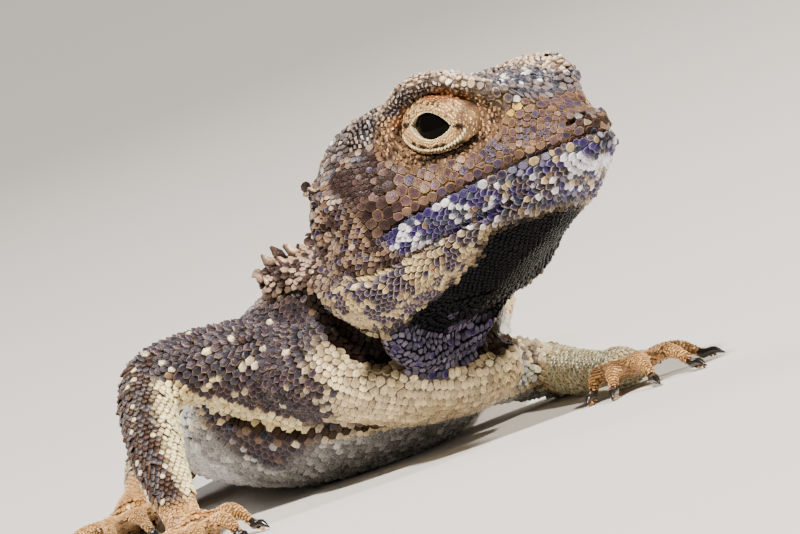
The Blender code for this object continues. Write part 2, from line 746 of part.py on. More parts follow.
def main():
    clear_scene()
    rng = random.Random(7)
    head = make_head()
    trunk = make_trunk()
    spine_clear = grown(head, GAP + 0.04)
    combine(trunk, [grown(head, GAP)], "DIFFERENCE")
    trunk_clear = grown(trunk, GAP)
    parts = {}
    for key, limb in LIMBS.items():
        body = make_limb(key, limb)
        combine(body, [copy_of(trunk_clear, "clear")], "DIFFERENCE")
        cut_floor(body)
        parts.update(limb_pieces(limb, body))
    bpy.data.objects.remove(trunk_clear, do_unlink=True)
    cut_head(head)
    parts["head"] = head
    cut_floor(trunk)
    combine(trunk, spines_on(trunk, neck_seeds(), 1.15, 0.42, (0, 0.2, 0.4), rng), "UNION")
    combine(trunk, [spine_clear], "DIFFERENCE")
    for low, high in ((19, 34), (39, 58)):
        seeds = back_seeds(low, high, rng)
        combine(trunk, spines_on(trunk, seeds, 1.0, 0.6, (0, 1.2, 0), rng), "UNION")
    cuts = [(Vector((-1.6, 14.8, 9.6)), Vector((-0.4, 0.72, -0.56)), 40)]
    cuts.append((Vector((-5.2, TORSO_CUT, 6)), Vector((0, 1, 0)), 60))
    cuts += [(Vector((0, y, 4)), Vector((0, 1, 0)), 40) for y in TAIL_CUTS]
    names = ("neck", "torso_front", "torso_rear", "tail_1", "tail_2", "tail_3", "tail_4")
    pieces = part(trunk, cuts, names)
    centres = dict(zip(names, (Vector((0, y, 6)) for y in (10, 24, 56, 87, 111, 135, 160))))
    parts.update(name_pieces(pieces, centres))
    for name, side in (("eye_right", -1), ("eye_left", 1)):
        parts[name] = make_eye(name, side)
    combine(head, spines_on(head, ear_seeds(), 0.75, 0.36, (0, 0.1, 0.3), rng), "UNION")
    corners = [obj.matrix_world @ Vector(corner) for obj in parts.values() for corner in obj.bound_box]
    low = [min(corner[i] for corner in corners) for i in range(3)]
    high = [max(corner[i] for corner in corners) for i in range(3)]
    offset = Vector((-(low[0] + high[0]) / 2, -(low[1] + high[1]) / 2, 0))
    print("moved by", tuple(offset), "size", [b - a for a, b in zip(low, high)])
    for name, obj in parts.items():
        kind = name.split("_")[0]
        finish(obj, kind if kind in COLOURS else "limb", offset)
        triangulate(obj)
        print(name, len(obj.data.polygons))


main()
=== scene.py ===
import itertools
import math
import random
from types import SimpleNamespace

import bmesh
import bpy
import numpy as np
from mathutils import Matrix, Vector
from mathutils.bvhtree import BVHTree
from mathutils.kdtree import KDTree


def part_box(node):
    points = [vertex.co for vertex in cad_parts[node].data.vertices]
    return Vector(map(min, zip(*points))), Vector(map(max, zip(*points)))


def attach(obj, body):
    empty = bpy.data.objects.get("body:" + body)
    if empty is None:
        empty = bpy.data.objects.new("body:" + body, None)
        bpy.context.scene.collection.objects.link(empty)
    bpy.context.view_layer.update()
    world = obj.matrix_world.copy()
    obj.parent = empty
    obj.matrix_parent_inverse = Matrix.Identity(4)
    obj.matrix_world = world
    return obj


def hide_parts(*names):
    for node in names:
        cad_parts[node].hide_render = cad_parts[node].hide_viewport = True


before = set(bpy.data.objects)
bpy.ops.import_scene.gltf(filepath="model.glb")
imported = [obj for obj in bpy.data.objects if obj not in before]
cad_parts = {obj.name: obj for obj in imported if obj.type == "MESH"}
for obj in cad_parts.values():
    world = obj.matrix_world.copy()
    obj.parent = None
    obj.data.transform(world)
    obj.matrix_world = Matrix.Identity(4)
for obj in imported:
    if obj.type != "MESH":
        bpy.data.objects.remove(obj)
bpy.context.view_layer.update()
rng = np.random.default_rng(11)
random.seed(11)

# The animal is worked in millimetres, facing -Y, and moved to the row's place when a piece is finished.
# Places in the head are written back, out and up from the tip of the snout.
pose = {
    "headTip": (14.9, -2.3, 16.5),
    "headTurn": 39.0,
    "headPitch": 6.6,
    "headRoll": 8.0,
    "eye": (8.5, 3.0, 3.95),
    "ear": (17.7, 7.6, 0.5),
    "cadEar": (18.2, 7.6, 1.6),
    "nostril": (1.1, 1.55, 1.05),
    "mouthEnd": 13.3,
    "mouthSag": 0.0052,
}


def headAxes():
    turn = math.radians(pose["headTurn"])
    pitch = math.radians(pose["headPitch"])
    forward = Vector((math.cos(turn) * math.cos(pitch), -math.sin(turn) * math.cos(pitch), math.sin(pitch)))
    level = Vector((math.sin(turn), math.cos(turn), 0))
    left = (Matrix.Rotation(math.radians(pose["headRoll"]), 3, forward) @ level).normalized()
    if left.z > 0:
        left = (Matrix.Rotation(-math.radians(pose["headRoll"]), 3, forward) @ level).normalized()
    return forward, left, forward.cross(left)


headForward, headLeft, headUp = headAxes()
headTurn = np.array([-headForward, headLeft, headUp])  # rows: back, out, up
headTip = np.array(pose["headTip"])


def fromHead(places):
    # back, out, up in the head -> millimetres in the model
    return np.asarray(places, float) @ headTurn + headTip


def toHead(points):
    return (np.asarray(points, float) - headTip) @ np.linalg.inv(headTurn)


eyeLow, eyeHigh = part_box("eye_right")
rightEye = np.array(pose["eye"]) * (1, -1, 1)
shift = (np.array(eyeLow) + np.array(eyeHigh)) * 500 - fromHead(rightEye)
print("stage: frame loaded, shift", shift.round(3))

flesh = ["head", "neck", "torso_front", "torso_rear", "tail_1", "tail_2", "tail_3", "tail_4"]
for limbSide in ("right", "left"):
    flesh += [part + "_" + limbSide for part in ("upper_arm", "forearm", "hand", "thigh", "shank", "foot")]

# Axes through the body, in millimetres: place and the farthest that the skin lies from it.
bodyAxis = (
    (2.6, 6.6, 14.6, 8), (0.5, 10.2, 12.6, 9), (-1.9, 13.6, 9.9, 11), (-5.4, 19.4, 7.0, 13),
    (-6.7, 26.0, 5.9, 14), (-6.9, 36.0, 5.6, 14), (-6.6, 46.0, 5.3, 14), (-6.1, 56.0, 5.1, 12),
    (-5.5, 64.0, 4.8, 9.5), (-5.2, 71.5, 4.0, 6.5), (-5.2, 79.0, 3.35, 5), (-5.9, 89.0, 2.75, 4),
    (-6.1, 103.0, 2.15, 3.2), (-4.4, 119.0, 1.65, 2.6), (-0.6, 137.0, 1.2, 2.0), (1.6, 156.0, 0.8, 1.4),
    (1.4, 174.6, 0.45, 1.0),
)
headAxis = (
    (0.35, 0.0, 0.05, 3), (1.5, 0.0, 0.2, 4), (3.2, 0.0, 0.5, 6), (5.2, 0.0, 0.8, 7.5), (8.5, 0.0, 0.9, 9),
    (11.8, 0.0, 0.6, 10), (15.0, 0.0, 0.0, 10.5), (17.6, 0.0, -0.8, 11), (20.2, 0.0, -1.4, 10),
    (21.4, 0.0, -1.6, 8),
)
limbAxes = {
    "armRight": (
        (-10.4, 12.6, 9.6, 4.2), (-17.0, 14.0, 10.4, 3.4), (-18.4, 9.4, 6.6, 2.8), (-18.2, 5.2, 2.3, 2.4),
        (-18.0, 4.2, 1.5, 2.6), (-17.5, 2.4, 1.15, 2.8),
    ),
    "armLeft": (
        (3.4, 18.8, 3.4, 3.4), (6.9, 22.4, 1.9, 2.8), (8.3, 17.0, 1.6, 2.4), (10.0, 11.6, 1.5, 2.2),
        (10.8, 10.4, 1.4, 2.5), (11.3, 8.5, 1.15, 2.7),
    ),
    "legRight": (
        (-12.2, 60.0, 4.7, 5), (-16.9, 53.0, 4.4, 3.8), (-19.5, 46.4, 3.2, 3.4), (-21.3, 39.4, 1.8, 2.4),
        (-21.7, 38.0, 1.5, 2.6), (-22.2, 34.0, 1.15, 2.8),
    ),
    "legLeft": (
        (0.9, 70.4, 4.5, 4.8), (4.4, 78.0, 4.0, 3.8), (3.1, 86.0, 2.9, 3.4), (1.4, 94.0, 1.7, 2.4),
        (1.1, 95.6, 1.5, 2.6), (1.1, 99.4, 1.15, 2.8),
    ),
}
# Each digit: where it leaves the hand or foot, its knuckle and the claw's root.
digits = {
    "armRight": (
        ((-16.6, 3.4, 1.2), (-15.1, 2.6, 1.9), (-13.9, 1.1, 0.55)),
        ((-16.9, 2.0, 1.2), (-15.6, -0.6, 1.7), (-14.9, -2.4, 0.5)),
        ((-17.6, 1.6, 1.2), (-17.5, -1.8, 1.7), (-17.3, -4.2, 0.5)),
        ((-18.3, 2.0, 1.2), (-19.6, -1.4, 1.6), (-20.3, -3.8, 0.5)),
        ((-18.9, 3.0, 1.2), (-21.0, 1.4, 1.5), (-22.6, 0.2, 0.5)),
    ),
    "armLeft": (
        ((10.2, 9.0, 1.2), (9.3, 7.4, 1.6), (8.6, 6.0, 0.5)),
        ((10.7, 8.0, 1.2), (10.3, 5.4, 1.7), (9.9, 3.5, 0.5)),
        ((11.4, 7.8, 1.2), (12.1, 4.7, 1.8), (12.5, 2.3, 0.5)),
        ((12.1, 8.2, 1.2), (14.0, 5.5, 1.7), (15.2, 3.4, 0.5)),
        ((12.3, 9.4, 1.2), (14.5, 8.8, 1.5), (16.2, 8.0, 0.5)),
    ),
    "legRight": (
        ((-21.4, 34.0, 1.2), (-19.6, 31.6, 1.5), (-18.8, 30.0, 0.5)),
        ((-21.9, 33.0, 1.2), (-20.2, 29.4, 1.7), (-19.3, 27.0, 0.5)),
        ((-22.6, 32.8, 1.2), (-21.6, 27.6, 1.8), (-20.9, 24.2, 0.5)),
        ((-23.3, 33.0, 1.2), (-23.6, 27.0, 1.8), (-23.4, 22.6, 0.5)),
        ((-23.7, 34.4, 1.2), (-25.8, 31.6, 1.5), (-27.0, 29.6, 0.5)),
    ),
    "legLeft": (
        ((2.2, 98.8, 1.2), (4.0, 100.0, 1.5), (5.2, 101.2, 0.5)),
        ((2.3, 100.0, 1.2), (4.0, 103.4, 1.7), (4.9, 106.0, 0.5)),
        ((1.7, 100.8, 1.2), (2.6, 105.8, 1.8), (3.2, 109.2, 0.5)),
        ((1.0, 100.8, 1.2), (0.9, 106.6, 1.8), (0.7, 110.8, 0.5)),
        ((0.3, 99.8, 1.2), (-1.2, 102.6, 1.5), (-1.9, 104.8, 0.5)),
    ),
}


def curve(rows, steps):
    # reads rows of numbers at even steps along a smooth curve through them
    rows = np.array(rows, float)
    last = len(rows) - 1
    found = []
    for place in np.linspace(0, last, steps):
        i = min(int(place), last - 1)
        t = place - i
        before = rows[i - 1] if i > 0 else 2 * rows[0] - rows[1]
        after = rows[i + 2] if i < last - 1 else 2 * rows[last] - rows[last - 1]
        b = rows[i + 1] - before
        c = 2 * before - 5 * rows[i] + 4 * rows[i + 1] - after
        d = 3 * rows[i] - before - 3 * rows[i + 1] + after
        found.append((2 * rows[i] + b * t + c * t**2 + d * t**3) / 2)
    return np.array(found)


def link(name, mesh):
    obj = bpy.data.objects.new(name, mesh)
    bpy.context.scene.collection.objects.link(obj)
    return obj


def applied(obj, name):
    # the mesh of an object with its modifiers used
    mesh = bpy.data.meshes.new_from_object(obj.evaluated_get(bpy.context.evaluated_depsgraph_get()))
    bpy.data.objects.remove(obj, do_unlink=True)
    return link(name, mesh)


def readPoints(mesh):
    co = np.zeros(len(mesh.vertices) * 3, np.float32)
    mesh.vertices.foreach_get("co", co)
    return co.reshape(-1, 3).astype(float)


def readNormals(mesh):
    co = np.zeros(len(mesh.vertices) * 3, np.float32)
    mesh.vertex_normals.foreach_get("vector", co)
    return co.reshape(-1, 3).astype(float)


def writePoints(mesh, points):
    mesh.vertices.foreach_set("co", np.asarray(points, np.float32).ravel())
    mesh.update()


def finished(form, name, finish):
    # a smooth object from a bmesh, which is given up
    mesh = bpy.data.meshes.new(name)
    form.to_mesh(mesh)
    form.free()
    mesh.polygons.foreach_set("use_smooth", np.ones(len(mesh.polygons), bool))
    mesh.materials.append(finish)
    return link(name, mesh)


def toRow(form):
    # from the animal's millimetres to the row's place in metres
    bmesh.ops.translate(form, vec=Vector(shift), verts=form.verts)
    bmesh.ops.scale(form, vec=(0.001, 0.001, 0.001), verts=form.verts)


# The skin: all flesh joined in one mesh, sunk by the depth of the scales, in millimetres.
skinSet = {"voxel": 0.34, "growHead": 0.1, "grow": 0.24, "scaleDepth": 0.1, "smooth": 3, "keep": 0.68}
eyeSet = {
    "back": 8.45, "out": 3.55, "up": 3.95, "radius": 2.3,
    "colour": (0.003, 0.0025, 0.002), "roughness": 0.05, "specular": 0.03,
}
lidSet = {
    "long": 1.62, "high": 0.87, "outerLong": 3.15, "outerHigh": 1.95, "outerLow": 1.85,
    "thick": 0.22, "rings": 14, "sides": 96, "turn": 21.0, "sharp": 0.75,
}
# Width and depth of each groove, and from how far out a groove of the head starts.
carveSet = {
    "neck": {"hollow": (0.6, 0.8), "pouch": (0.45, 0.4), "pectoral": (0.36, 0.6)},
    "head": {"crease": (0.3, 0.6, 3.0), "underBrow": (0.22, 0.35, 3.5)},
    "mouth": (0.17, 0.32), "nostril": (0.3, 0.35), "ear": (0.75, 0.8), "cadEar": (0.6, -0.35),
    "wrinkles": (1.02, 1.55), "wrinkleStep": 0.14, "wrinkle": 0.09, "frontFrom": 7.5, "frontTo": 22,
}


def joinFlesh():
    joined = bmesh.new()
    for name in flesh:
        piece = bmesh.new()
        piece.from_mesh(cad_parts[name].data)
        bmesh.ops.remove_doubles(piece, verts=piece.verts, dist=1e-6)
        bmesh.ops.scale(piece, vec=(1000, 1000, 1000), verts=piece.verts)
        bmesh.ops.translate(piece, vec=-Vector(shift), verts=piece.verts)
        piece.normal_update()
        grow = skinSet["growHead"] if name == "head" else skinSet["grow"]
        moved = [vert.co + vert.normal * grow for vert in piece.verts]
        for vert, place in zip(piece.verts, moved):
            vert.co = place
        mesh = bpy.data.meshes.new("copy")
        piece.to_mesh(mesh)
        joined.from_mesh(mesh)
        bpy.data.meshes.remove(mesh)
        piece.free()
    mesh = bpy.data.meshes.new("skin")
    joined.to_mesh(mesh)
    joined.free()
    obj = link("skin", mesh)
    remesh = obj.modifiers.new("remesh", "REMESH")
    remesh.mode = "VOXEL"
    remesh.voxel_size = skinSet["voxel"]
    soften = obj.modifiers.new("soften", "SMOOTH")
    soften.factor = 0.5
    soften.iterations = skinSet["smooth"]
    return applied(obj, "skin")


def inHead(places):
    # 1 inside the head, fading out over the neck
    back = np.clip((21.5 - places[:, 0]) / 2.5, 0, 1)
    side = np.clip((9.8 - np.abs(places[:, 1])) / 1.0, 0, 1)
    low = np.clip((places[:, 2] + 9.5) / 1.0, 0, 1)
    return back * side * low


def refineHead(obj):
    # halves the faces of the head, where lids, lips and folds need them
    form = bmesh.new()
    form.from_mesh(obj.data)
    places = toHead(np.array([vert.co for vert in form.verts]))
    reach = np.where(places[:, 2] < -5, 24, 20.5)
    near = (places[:, 0] < reach) & (places[:, 0] > -2) & (np.abs(places[:, 1]) < 9.6) & (places[:, 2] > -11)
    edges = [edge for edge in form.edges if near[edge.verts[0].index] and near[edge.verts[1].index]]
    bmesh.ops.subdivide_edges(form, edges=edges, cuts=1, use_grid_fill=True)
    form.to_mesh(obj.data)
    form.free()


def groove(value, width):
    return np.exp(-(value / width) ** 2)


def polyDistance(points, path):
    # distance from each point to a line through places, and how far along it lies, 0 to 1
    path = np.asarray(path, float)
    best = np.full(len(points), 1e9)
    along = np.zeros(len(points))
    for i in range(len(path) - 1):
        run = path[i + 1] - path[i]
        t = np.clip(((points - path[i]) @ run) / (run @ run), 0, 1)
        distance = np.linalg.norm(points - path[i] - t[:, None] * run, axis=1)
        closer = distance < best
        best[closer] = distance[closer]
        along[closer] = (i + t[closer]) / (len(path) - 1)
    return best, along


def foldDistance(points, name):
    # distance to a fold of the neck or breast, looked at from the front
    flat = np.array([1, 0.2, 1])
    return polyDistance(points * flat, np.array(neckFolds[name]) * flat)


def lidAxes(places, share=1.0):
    # how far head places lie along and across the slant of the eye's opening
    turn = math.radians(lidSet["turn"] * share)
    back, up = places[:, 0] - eyeSet["back"], places[:, 2] - eyeSet["up"]
    return back * math.cos(turn) + up * math.sin(turn), up * math.cos(turn) - back * math.sin(turn)


def lidShare(places):
    # how far out each head place lies from the eye's middle, 1 at the outer edge of the lids
    along, across = lidAxes(places, 0.65)
    tall = np.where(across > 0, lidSet["outerHigh"], lidSet["outerLow"])
    return np.hypot(along / lidSet["outerLong"], across / tall)


def mouthUp(back):
    return -0.1 - pose["mouthSag"] * back * back


# Folds on both sides of the head, back and up, and folds of the neck and breast in the model.
headFolds = {
    "crease": ((3.5, -1.9), (6.0, -2.35), (9.0, -2.6), (12.5, -3.0), (15.0, -3.1), (18.0, -2.2)),
    "underBrow": ((5.6, 4.2), (6.4, 5.3), (8.2, 6.0), (10.2, 5.75), (11.6, 4.8)),
}
neckFolds = {
    "hollow": (
        (-8.6, 10.1, 12.9), (-7.0, 9.3, 13.0), (-6.1, 8.5, 12.6), (-5.4, 8.1, 11.5),
        (-5.0, 8.3, 10.2), (-4.5, 8.4, 9.1), (-3.9, 8.4, 8.0), (-3.0, 8.6, 7.5),
    ),
    "pouch": ((-3.0, 8.6, 7.5), (0.0, 9.4, 5.9), (2.7, 11.0, 5.2), (5.2, 13.0, 5.6)),
    "pectoral": (
        (-14.6, 14.6, 6.9), (-12.9, 14.0, 6.1), (-10.5, 12.9, 4.3), (-7.1, 12.1, 3.5),
        (-3.3, 12.2, 3.0), (-0.7, 12.2, 2.6), (2.6, 14.4, 2.2),
    ),
}


def carveHead(obj):
    # sinks the skin by the coat's depth and cuts the mouth, folds, nostrils and ears; returns the painted
    # shade of mouth, nostrils and ears
    points = readPoints(obj.data)
    normals = readNormals(obj.data)
    places = toHead(points)
    weight = inHead(places)
    back, out, up = places.T
    side = np.abs(out)
    depth = skinSet["grow"] * (1 - weight) + skinSet["growHead"] * weight + skinSet["scaleDepth"]
    width, deep = carveSet["mouth"]
    mouth = groove(up - mouthUp(back), width) * np.clip((pose["mouthEnd"] + 0.6 - back) / 0.8, 0, 1)
    depth += deep * mouth * weight
    front = (points[:, 1] > carveSet["frontFrom"]) * (points[:, 1] < carveSet["frontTo"])
    for name, (width, deep) in carveSet["neck"].items():
        distance, along = foldDistance(points, name)
        depth += deep * groove(distance, width) * np.clip(along / 0.12, 0.1, 1) * front
    flat = np.stack([back, up], axis=1)
    for name, (width, deep, outFrom) in carveSet["head"].items():
        distance, along = polyDistance(flat, headFolds[name])
        ends = np.clip(np.minimum(along, 1 - along) / 0.12, 0, 1)
        depth += deep * groove(distance, width) * ends * weight * (side > outFrom)
    share = lidShare(places)
    first, last = carveSet["wrinkles"]
    rings = np.clip(np.minimum(share - first, last - share) / 0.1, 0, 1)
    rings = rings * (side > 3) * (np.abs(up - 3.9) < 2.2)
    turns = (share - first) * math.tau / carveSet["wrinkleStep"]
    depth += carveSet["wrinkle"] * (1 - np.cos(turns)) * rings * weight
    hollow = np.hypot(back - pose["nostril"][0], up - pose["nostril"][2])
    width, deep = carveSet["nostril"]
    depth += deep * groove(hollow, width) * (side > 0.8) * (back < 3)
    pits = {name: np.hypot(back - pose[name][0], (up - pose[name][2]) / 1.25) for name in ("ear", "cadEar")}
    for name, pit in pits.items():
        width, deep = carveSet[name]
        depth += deep * groove(pit, width) * (side > 5) * weight
    moved = toHead(points - normals * depth[:, None])
    # behind the lids the skin stays inside the eyeball
    limit = 3.3 + 3.2 * np.clip((lidShare(moved) - 0.86) / 0.2, 0, 1)
    inside = (limit < 6.5) & (np.abs(moved[:, 1]) > 2.4) & (weight > 0.5)
    held = np.sign(moved[:, 1]) * np.minimum(np.abs(moved[:, 1]), limit)
    moved[:, 1] = np.where(inside, held, moved[:, 1])
    writePoints(obj.data, fromHead(moved))
    # painted shade in the mouth line, nostrils and ear pits, 0 to 1
    nostrils = groove(hollow, 0.34) * (side > 0.8) * (back < 3)
    ears = groove(pits["ear"], 0.5) * (side > 5) * 0.6
    return np.clip(mouth * 0.9 + nostrils + ears, 0, 1) * weight


def lidPlace(angle, ring, side):
    # a place on the lids: ring 0 at the opening's edge, 1 where the lids dip into the skin
    high = lidSet["outerHigh"] if math.sin(angle) > 0 else lidSet["outerLow"]
    long = lidSet["long"] + (lidSet["outerLong"] - lidSet["long"]) * ring
    rise = lidSet["high"] + (high - lidSet["high"]) * ring
    almond = abs(math.sin(angle)) ** (lidSet["sharp"] * max(1 - 1.6 * ring, 0))
    along = long * math.cos(angle)
    across = rise * math.sin(angle) * almond
    turn = math.radians(lidSet["turn"]) * (1 - 0.35 * min(ring, 1))
    back = along * math.cos(turn) - across * math.sin(turn)
    up = along * math.sin(turn) + across * math.cos(turn)
    ball = eyeSet["radius"] + lidSet["thick"] * min(1, 0.35 + ring * 4)
    ball += 0.1 * math.sin(min(ring, 1) * math.pi)
    ball += 0.022 * math.sin(ring * 31) * (ring > 0.15) * (up > 0)
    out = eyeSet["out"] + math.sqrt(max(ball**2 - (back * 0.74) ** 2 - (up * 0.94) ** 2, 0.2))
    out -= max(ring - 0.88, 0) * 4
    return (eyeSet["back"] + back, side * out, eyeSet["up"] + up)


def makeLids():
    # two shells of lid skin round each eye, from the opening outwards
    form = bmesh.new()
    for side in (-1, 1):
        loop = bmesh.ops.create_circle(form, segments=lidSet["sides"], radius=1)["verts"]
        angles = {vert: math.atan2(vert.co.y, vert.co.x) for vert in loop}
        edges = list({edge for vert in loop for edge in vert.link_edges})
        for vert, angle in angles.items():
            back, out, up = lidPlace(angle, 0, side)
            vert.co = fromHead((back, out - side * 0.45, up))
        for step in range(lidSet["rings"] + 1):
            before = {tuple(round(value, 5) for value in vert.co): angle for vert, angle in angles.items()}
            made = bmesh.ops.extrude_edge_only(form, edges=edges)["geom"]
            edges = [item for item in made if isinstance(item, bmesh.types.BMEdge)]
            edges = [edge for edge in edges if len(edge.link_faces) == 1]
            verts = [item for item in made if isinstance(item, bmesh.types.BMVert)]
            angles = {vert: before[tuple(round(value, 5) for value in vert.co)] for vert in verts}
            for vert, angle in angles.items():
                vert.co = fromHead(lidPlace(angle, step / lidSet["rings"] * 1.1, side))
    bmesh.ops.recalc_face_normals(form, faces=form.faces)
    mesh = bpy.data.meshes.new("lids")
    form.to_mesh(mesh)
    form.free()
    return link("lids", mesh)


skin = joinFlesh()
refineHead(skin)
skinPitShade = carveHead(skin)
skinPoints = readPoints(skin.data)
headForm = bmesh.new()
headForm.from_mesh(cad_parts["head"].data)
bmesh.ops.scale(headForm, vec=(1000, 1000, 1000), verts=headForm.verts)
bmesh.ops.translate(headForm, vec=-Vector(shift), verts=headForm.verts)
headTree = BVHTree.FromBMesh(headForm)
headForm.free()
lids = makeLids()
skinForm = bmesh.new()
skinForm.from_mesh(skin.data)
skinForm.from_mesh(lids.data)
skinTree = BVHTree.FromBMesh(skinForm)
skinForm.free()
lidPoints = [tuple(vert.co) for vert in lids.data.vertices]
lidTree = BVHTree.FromPolygons(lidPoints, [tuple(face.vertices) for face in lids.data.polygons])
print("stage: skin", len(skin.data.polygons), "faces")

# Bounds that the rules for size, form and place of the scales share: head places, then model places.
regionSet = {
    "pouchUp": -6.0, "throatUp": -3.2, "templeBack": 14.6, "cheekBack": 11.8,
    "lids": 1.35, "lidsOut": 3.2, "chestTo": 17, "shoulderTo": 20, "wristUp": 3.4, "leftArmTo": 40,
}
# Where each scale grows. Axis numbers: 0 head, 1 body and tail, 2 to 5 limbs, 6 digits.
seeds = {"point": [], "lie": [], "axis": []}
spacing = {
    "head": 0.42, "crown": 0.31, "snout": 0.4, "snoutCells": 0.5, "jaw": 0.37, "lowJaw": 0.38,
    "throat": 0.35, "pouch": 0.24, "temple": 0.38, "lids": 0.25,
    "body": 0.62, "belly": 0.48, "chest": 0.46, "shoulder": 0.38, "nape": 0.36, "breast": 0.38,
    "tail": 0.72, "tailEnd": 0.55, "limb": 0.42, "wrist": 0.34, "digit": 0.26,
    "plates": ((3.5, 0.42), (6, 0.46), (9, 0.56), (12, 0.62), (14.5, 0.46)),
}


def atLids(places):
    # the skin round the lids, which carries fine granules
    return (lidShare(places) < regionSet["lids"]) & (np.abs(places[:, 1]) > regionSet["lidsOut"])


def spacingAt(points, axis):
    # how far apart the scales sit, in millimetres; a later region lies over an earlier one
    places = toHead(points)
    back, out, up = places.T
    low = up - mouthUp(back)
    x, y, z = points.T
    head, body, limb = axis == 0, axis == 1, (axis >= 2) & (axis <= 5)
    cheek = head & (up < 3.0) & (low > 0) & (back > 3.5) & (back < 14.5)
    plateBack, plateSize = zip(*spacing["plates"])
    plates = np.interp(back, plateBack, plateSize) * np.interp(low, [0, 2, 3.5], [1.08, 1.04, 0.8])
    regions = (
        (head, "head"),
        (head & (up > 4.6), "crown"),
        (head & (back < 6.5) & (low > 0), "snout"),
        (head & (back > 1.6) & (back < 6.8) & (up > 2.1) & (up < 4.4), "snoutCells"),
        (cheek, "plates"),
        (head & (low < 0), "jaw"),
        (head & (low < -2.2), "lowJaw"),
        (head & (up < -4.6), "throat"),
        (head & (up < regionSet["pouchUp"]), "pouch"),
        (head & (back > regionSet["templeBack"]) & (low > -1), "temple"),
        (atLids(places) & head, "lids"),
        (body, "body"),
        (body & (z < 5.5) & (y > 14) & (y < 72), "belly"),
        (body & (y < regionSet["chestTo"]), "chest"),
        (body & (y < regionSet["shoulderTo"]) & (x < -5.6) & (z > 5.5), "shoulder"),
        (body & (y < 13) & (z > 12), "nape"),
        (body & (y < regionSet["shoulderTo"]) & (z < 3.4) & (np.abs(x) < 15), "breast"),
        (body & (y > 70), "tail"),
        (body & (y > 140), "tailEnd"),
        (limb, "limb"),
        (limb & (z < regionSet["wristUp"]) & (np.abs(x) > 8.5), "wrist"),
        (axis == 6, "digit"),
    )
    size = np.zeros(len(points))
    for region, name in regions:
        size[region] = plates[region] if name == "plates" else spacing[name]
    return size


def alongAxis(path, steps):
    line = curve(path, steps)
    runs = np.gradient(line[:, :3], axis=0)
    runs /= np.linalg.norm(runs, axis=1)[:, None]
    lengths = np.concatenate([[0], np.cumsum(np.linalg.norm(np.diff(line[:, :3], axis=0), axis=1))])
    return line, runs, lengths


rowSet = {"share": 0.86, "loose": 0.045, "regroup": 0.09, "skip": 0.3, "steps": 160, "past": 1.15}


def growRow(centre, run, reach, number, probes, row, count, upHint):
    # one row of seeds on the skin round an axis; returns how wide and how many they are
    across = run.cross(Vector(upHint)).normalized()
    rise = across.cross(run)

    def cast(angle):
        ray = across * math.cos(angle) + rise * math.sin(angle)
        return skinTree.ray_cast(centre, ray, reach * rowSet["past"])

    ring = [cast(math.tau * i / probes + math.pi / 2)[3] for i in range(probes)]
    known = [i for i, far in enumerate(ring) if far is not None]
    if len(known) < probes * 0.3:
        return None, count
    reaches = np.interp(np.arange(probes + 1), known, [ring[i] for i in known], period=probes)
    angles = np.arange(probes + 1) * math.tau / probes + math.pi / 2
    xs = reaches * np.cos(angles)
    ys = reaches * np.sin(angles)
    arc = np.concatenate([[0], np.cumsum(np.hypot(np.diff(xs), np.diff(ys)))])
    sample = np.array([centre + across * xs[i] + rise * ys[i] for i in range(0, probes, 4)])
    width = float(np.mean(spacingAt(sample, np.full(len(sample), number))))
    wanted = arc[-1] / width
    if count == 0 or abs(wanted - count) > rowSet["regroup"] * count:
        count = max(int(round(wanted / 2)) * 2, 6)
    for j in range(count):
        spot = ((j + 0.5 * (row % 2)) / count) * arc[-1]
        spot = min(max(spot + random.gauss(0, rowSet["loose"]) * width, 0), arc[-1])
        i = max(min(int(np.searchsorted(arc, spot) - 1), probes - 1), 0)
        if ring[i] is None and ring[(i + 1) % probes] is None:
            continue
        hit = cast(np.interp(spot, arc, angles))[0]
        if hit is not None:
            seeds["point"].append(tuple(hit))
            seeds["lie"].append(tuple(run))
            seeds["axis"].append(number)
    return width, count


def growRows(path, number, probes, upHint=(0, 0, 1)):
    # rows of seeds along an axis, each row set half a scale over from the one before
    line, runs, lengths = alongAxis(path, rowSet["steps"])
    place = 0.15
    row = 0
    count = 0
    before = len(seeds["point"])
    while place < lengths[-1]:
        at = np.array([np.interp(place, lengths, line[:, k]) for k in range(4)])
        run = Vector([np.interp(place, lengths, runs[:, k]) for k in range(3)]).normalized()
        width, count = growRow(Vector(at[:3]), run, at[3], number, probes, row, count, upHint)
        if width is None:
            place += rowSet["skip"]
            continue
        row += 1
        place += width * rowSet["share"]
    print("   axis", number, "rows", row, "seeds", len(seeds["point"]) - before)


headLine = [tuple(fromHead(row[:3])) + (row[3],) for row in headAxis]
growRows(headLine, 0, 72, upHint=tuple(headUp))
growRows(bodyAxis, 1, 72)
for i, name in enumerate(("armRight", "armLeft", "legRight", "legLeft")):
    growRows(limbAxes[name], 2 + i, 36, upHint=(0.2, 0.3, 1))
for name, group in digits.items():
    for digit in group:
        growRows([tuple(joint) + (1.1,) for joint in digit], 6, 16, upHint=(0.3, 0.2, 1))
print("stage: rows", len(seeds["point"]))

# Scales with rules of their own, laid before the rows: place, lie, size, kind and length.
special = {"point": [], "lie": [], "size": [], "kind": [], "long": []}
kinds = ("granule", "plate", "crag", "shingle", "keeled", "spine", "comb", "labial", "grain", "rim", "tile")


def addSpecial(point, lie, size, kind, long=1.0):
    special["point"].append(tuple(point))
    special["lie"].append(tuple(lie))
    special["size"].append(size)
    special["kind"].append(kinds.index(kind))
    special["long"].append(long)


def castSide(back, up, side):
    # from far out at one side of the head onto its skin
    start = Vector(fromHead((back, side * 14, up)))
    ray = Vector(fromHead((back, 0, up))) - start
    hit, normal, face, far = skinTree.ray_cast(start, ray.normalized(), 16)
    return hit, normal


lipSet = {"step": 0.62, "from": 0.9, "rows": ((0.38, 0.5), (-0.38, 0.48)), "long": 1.3}


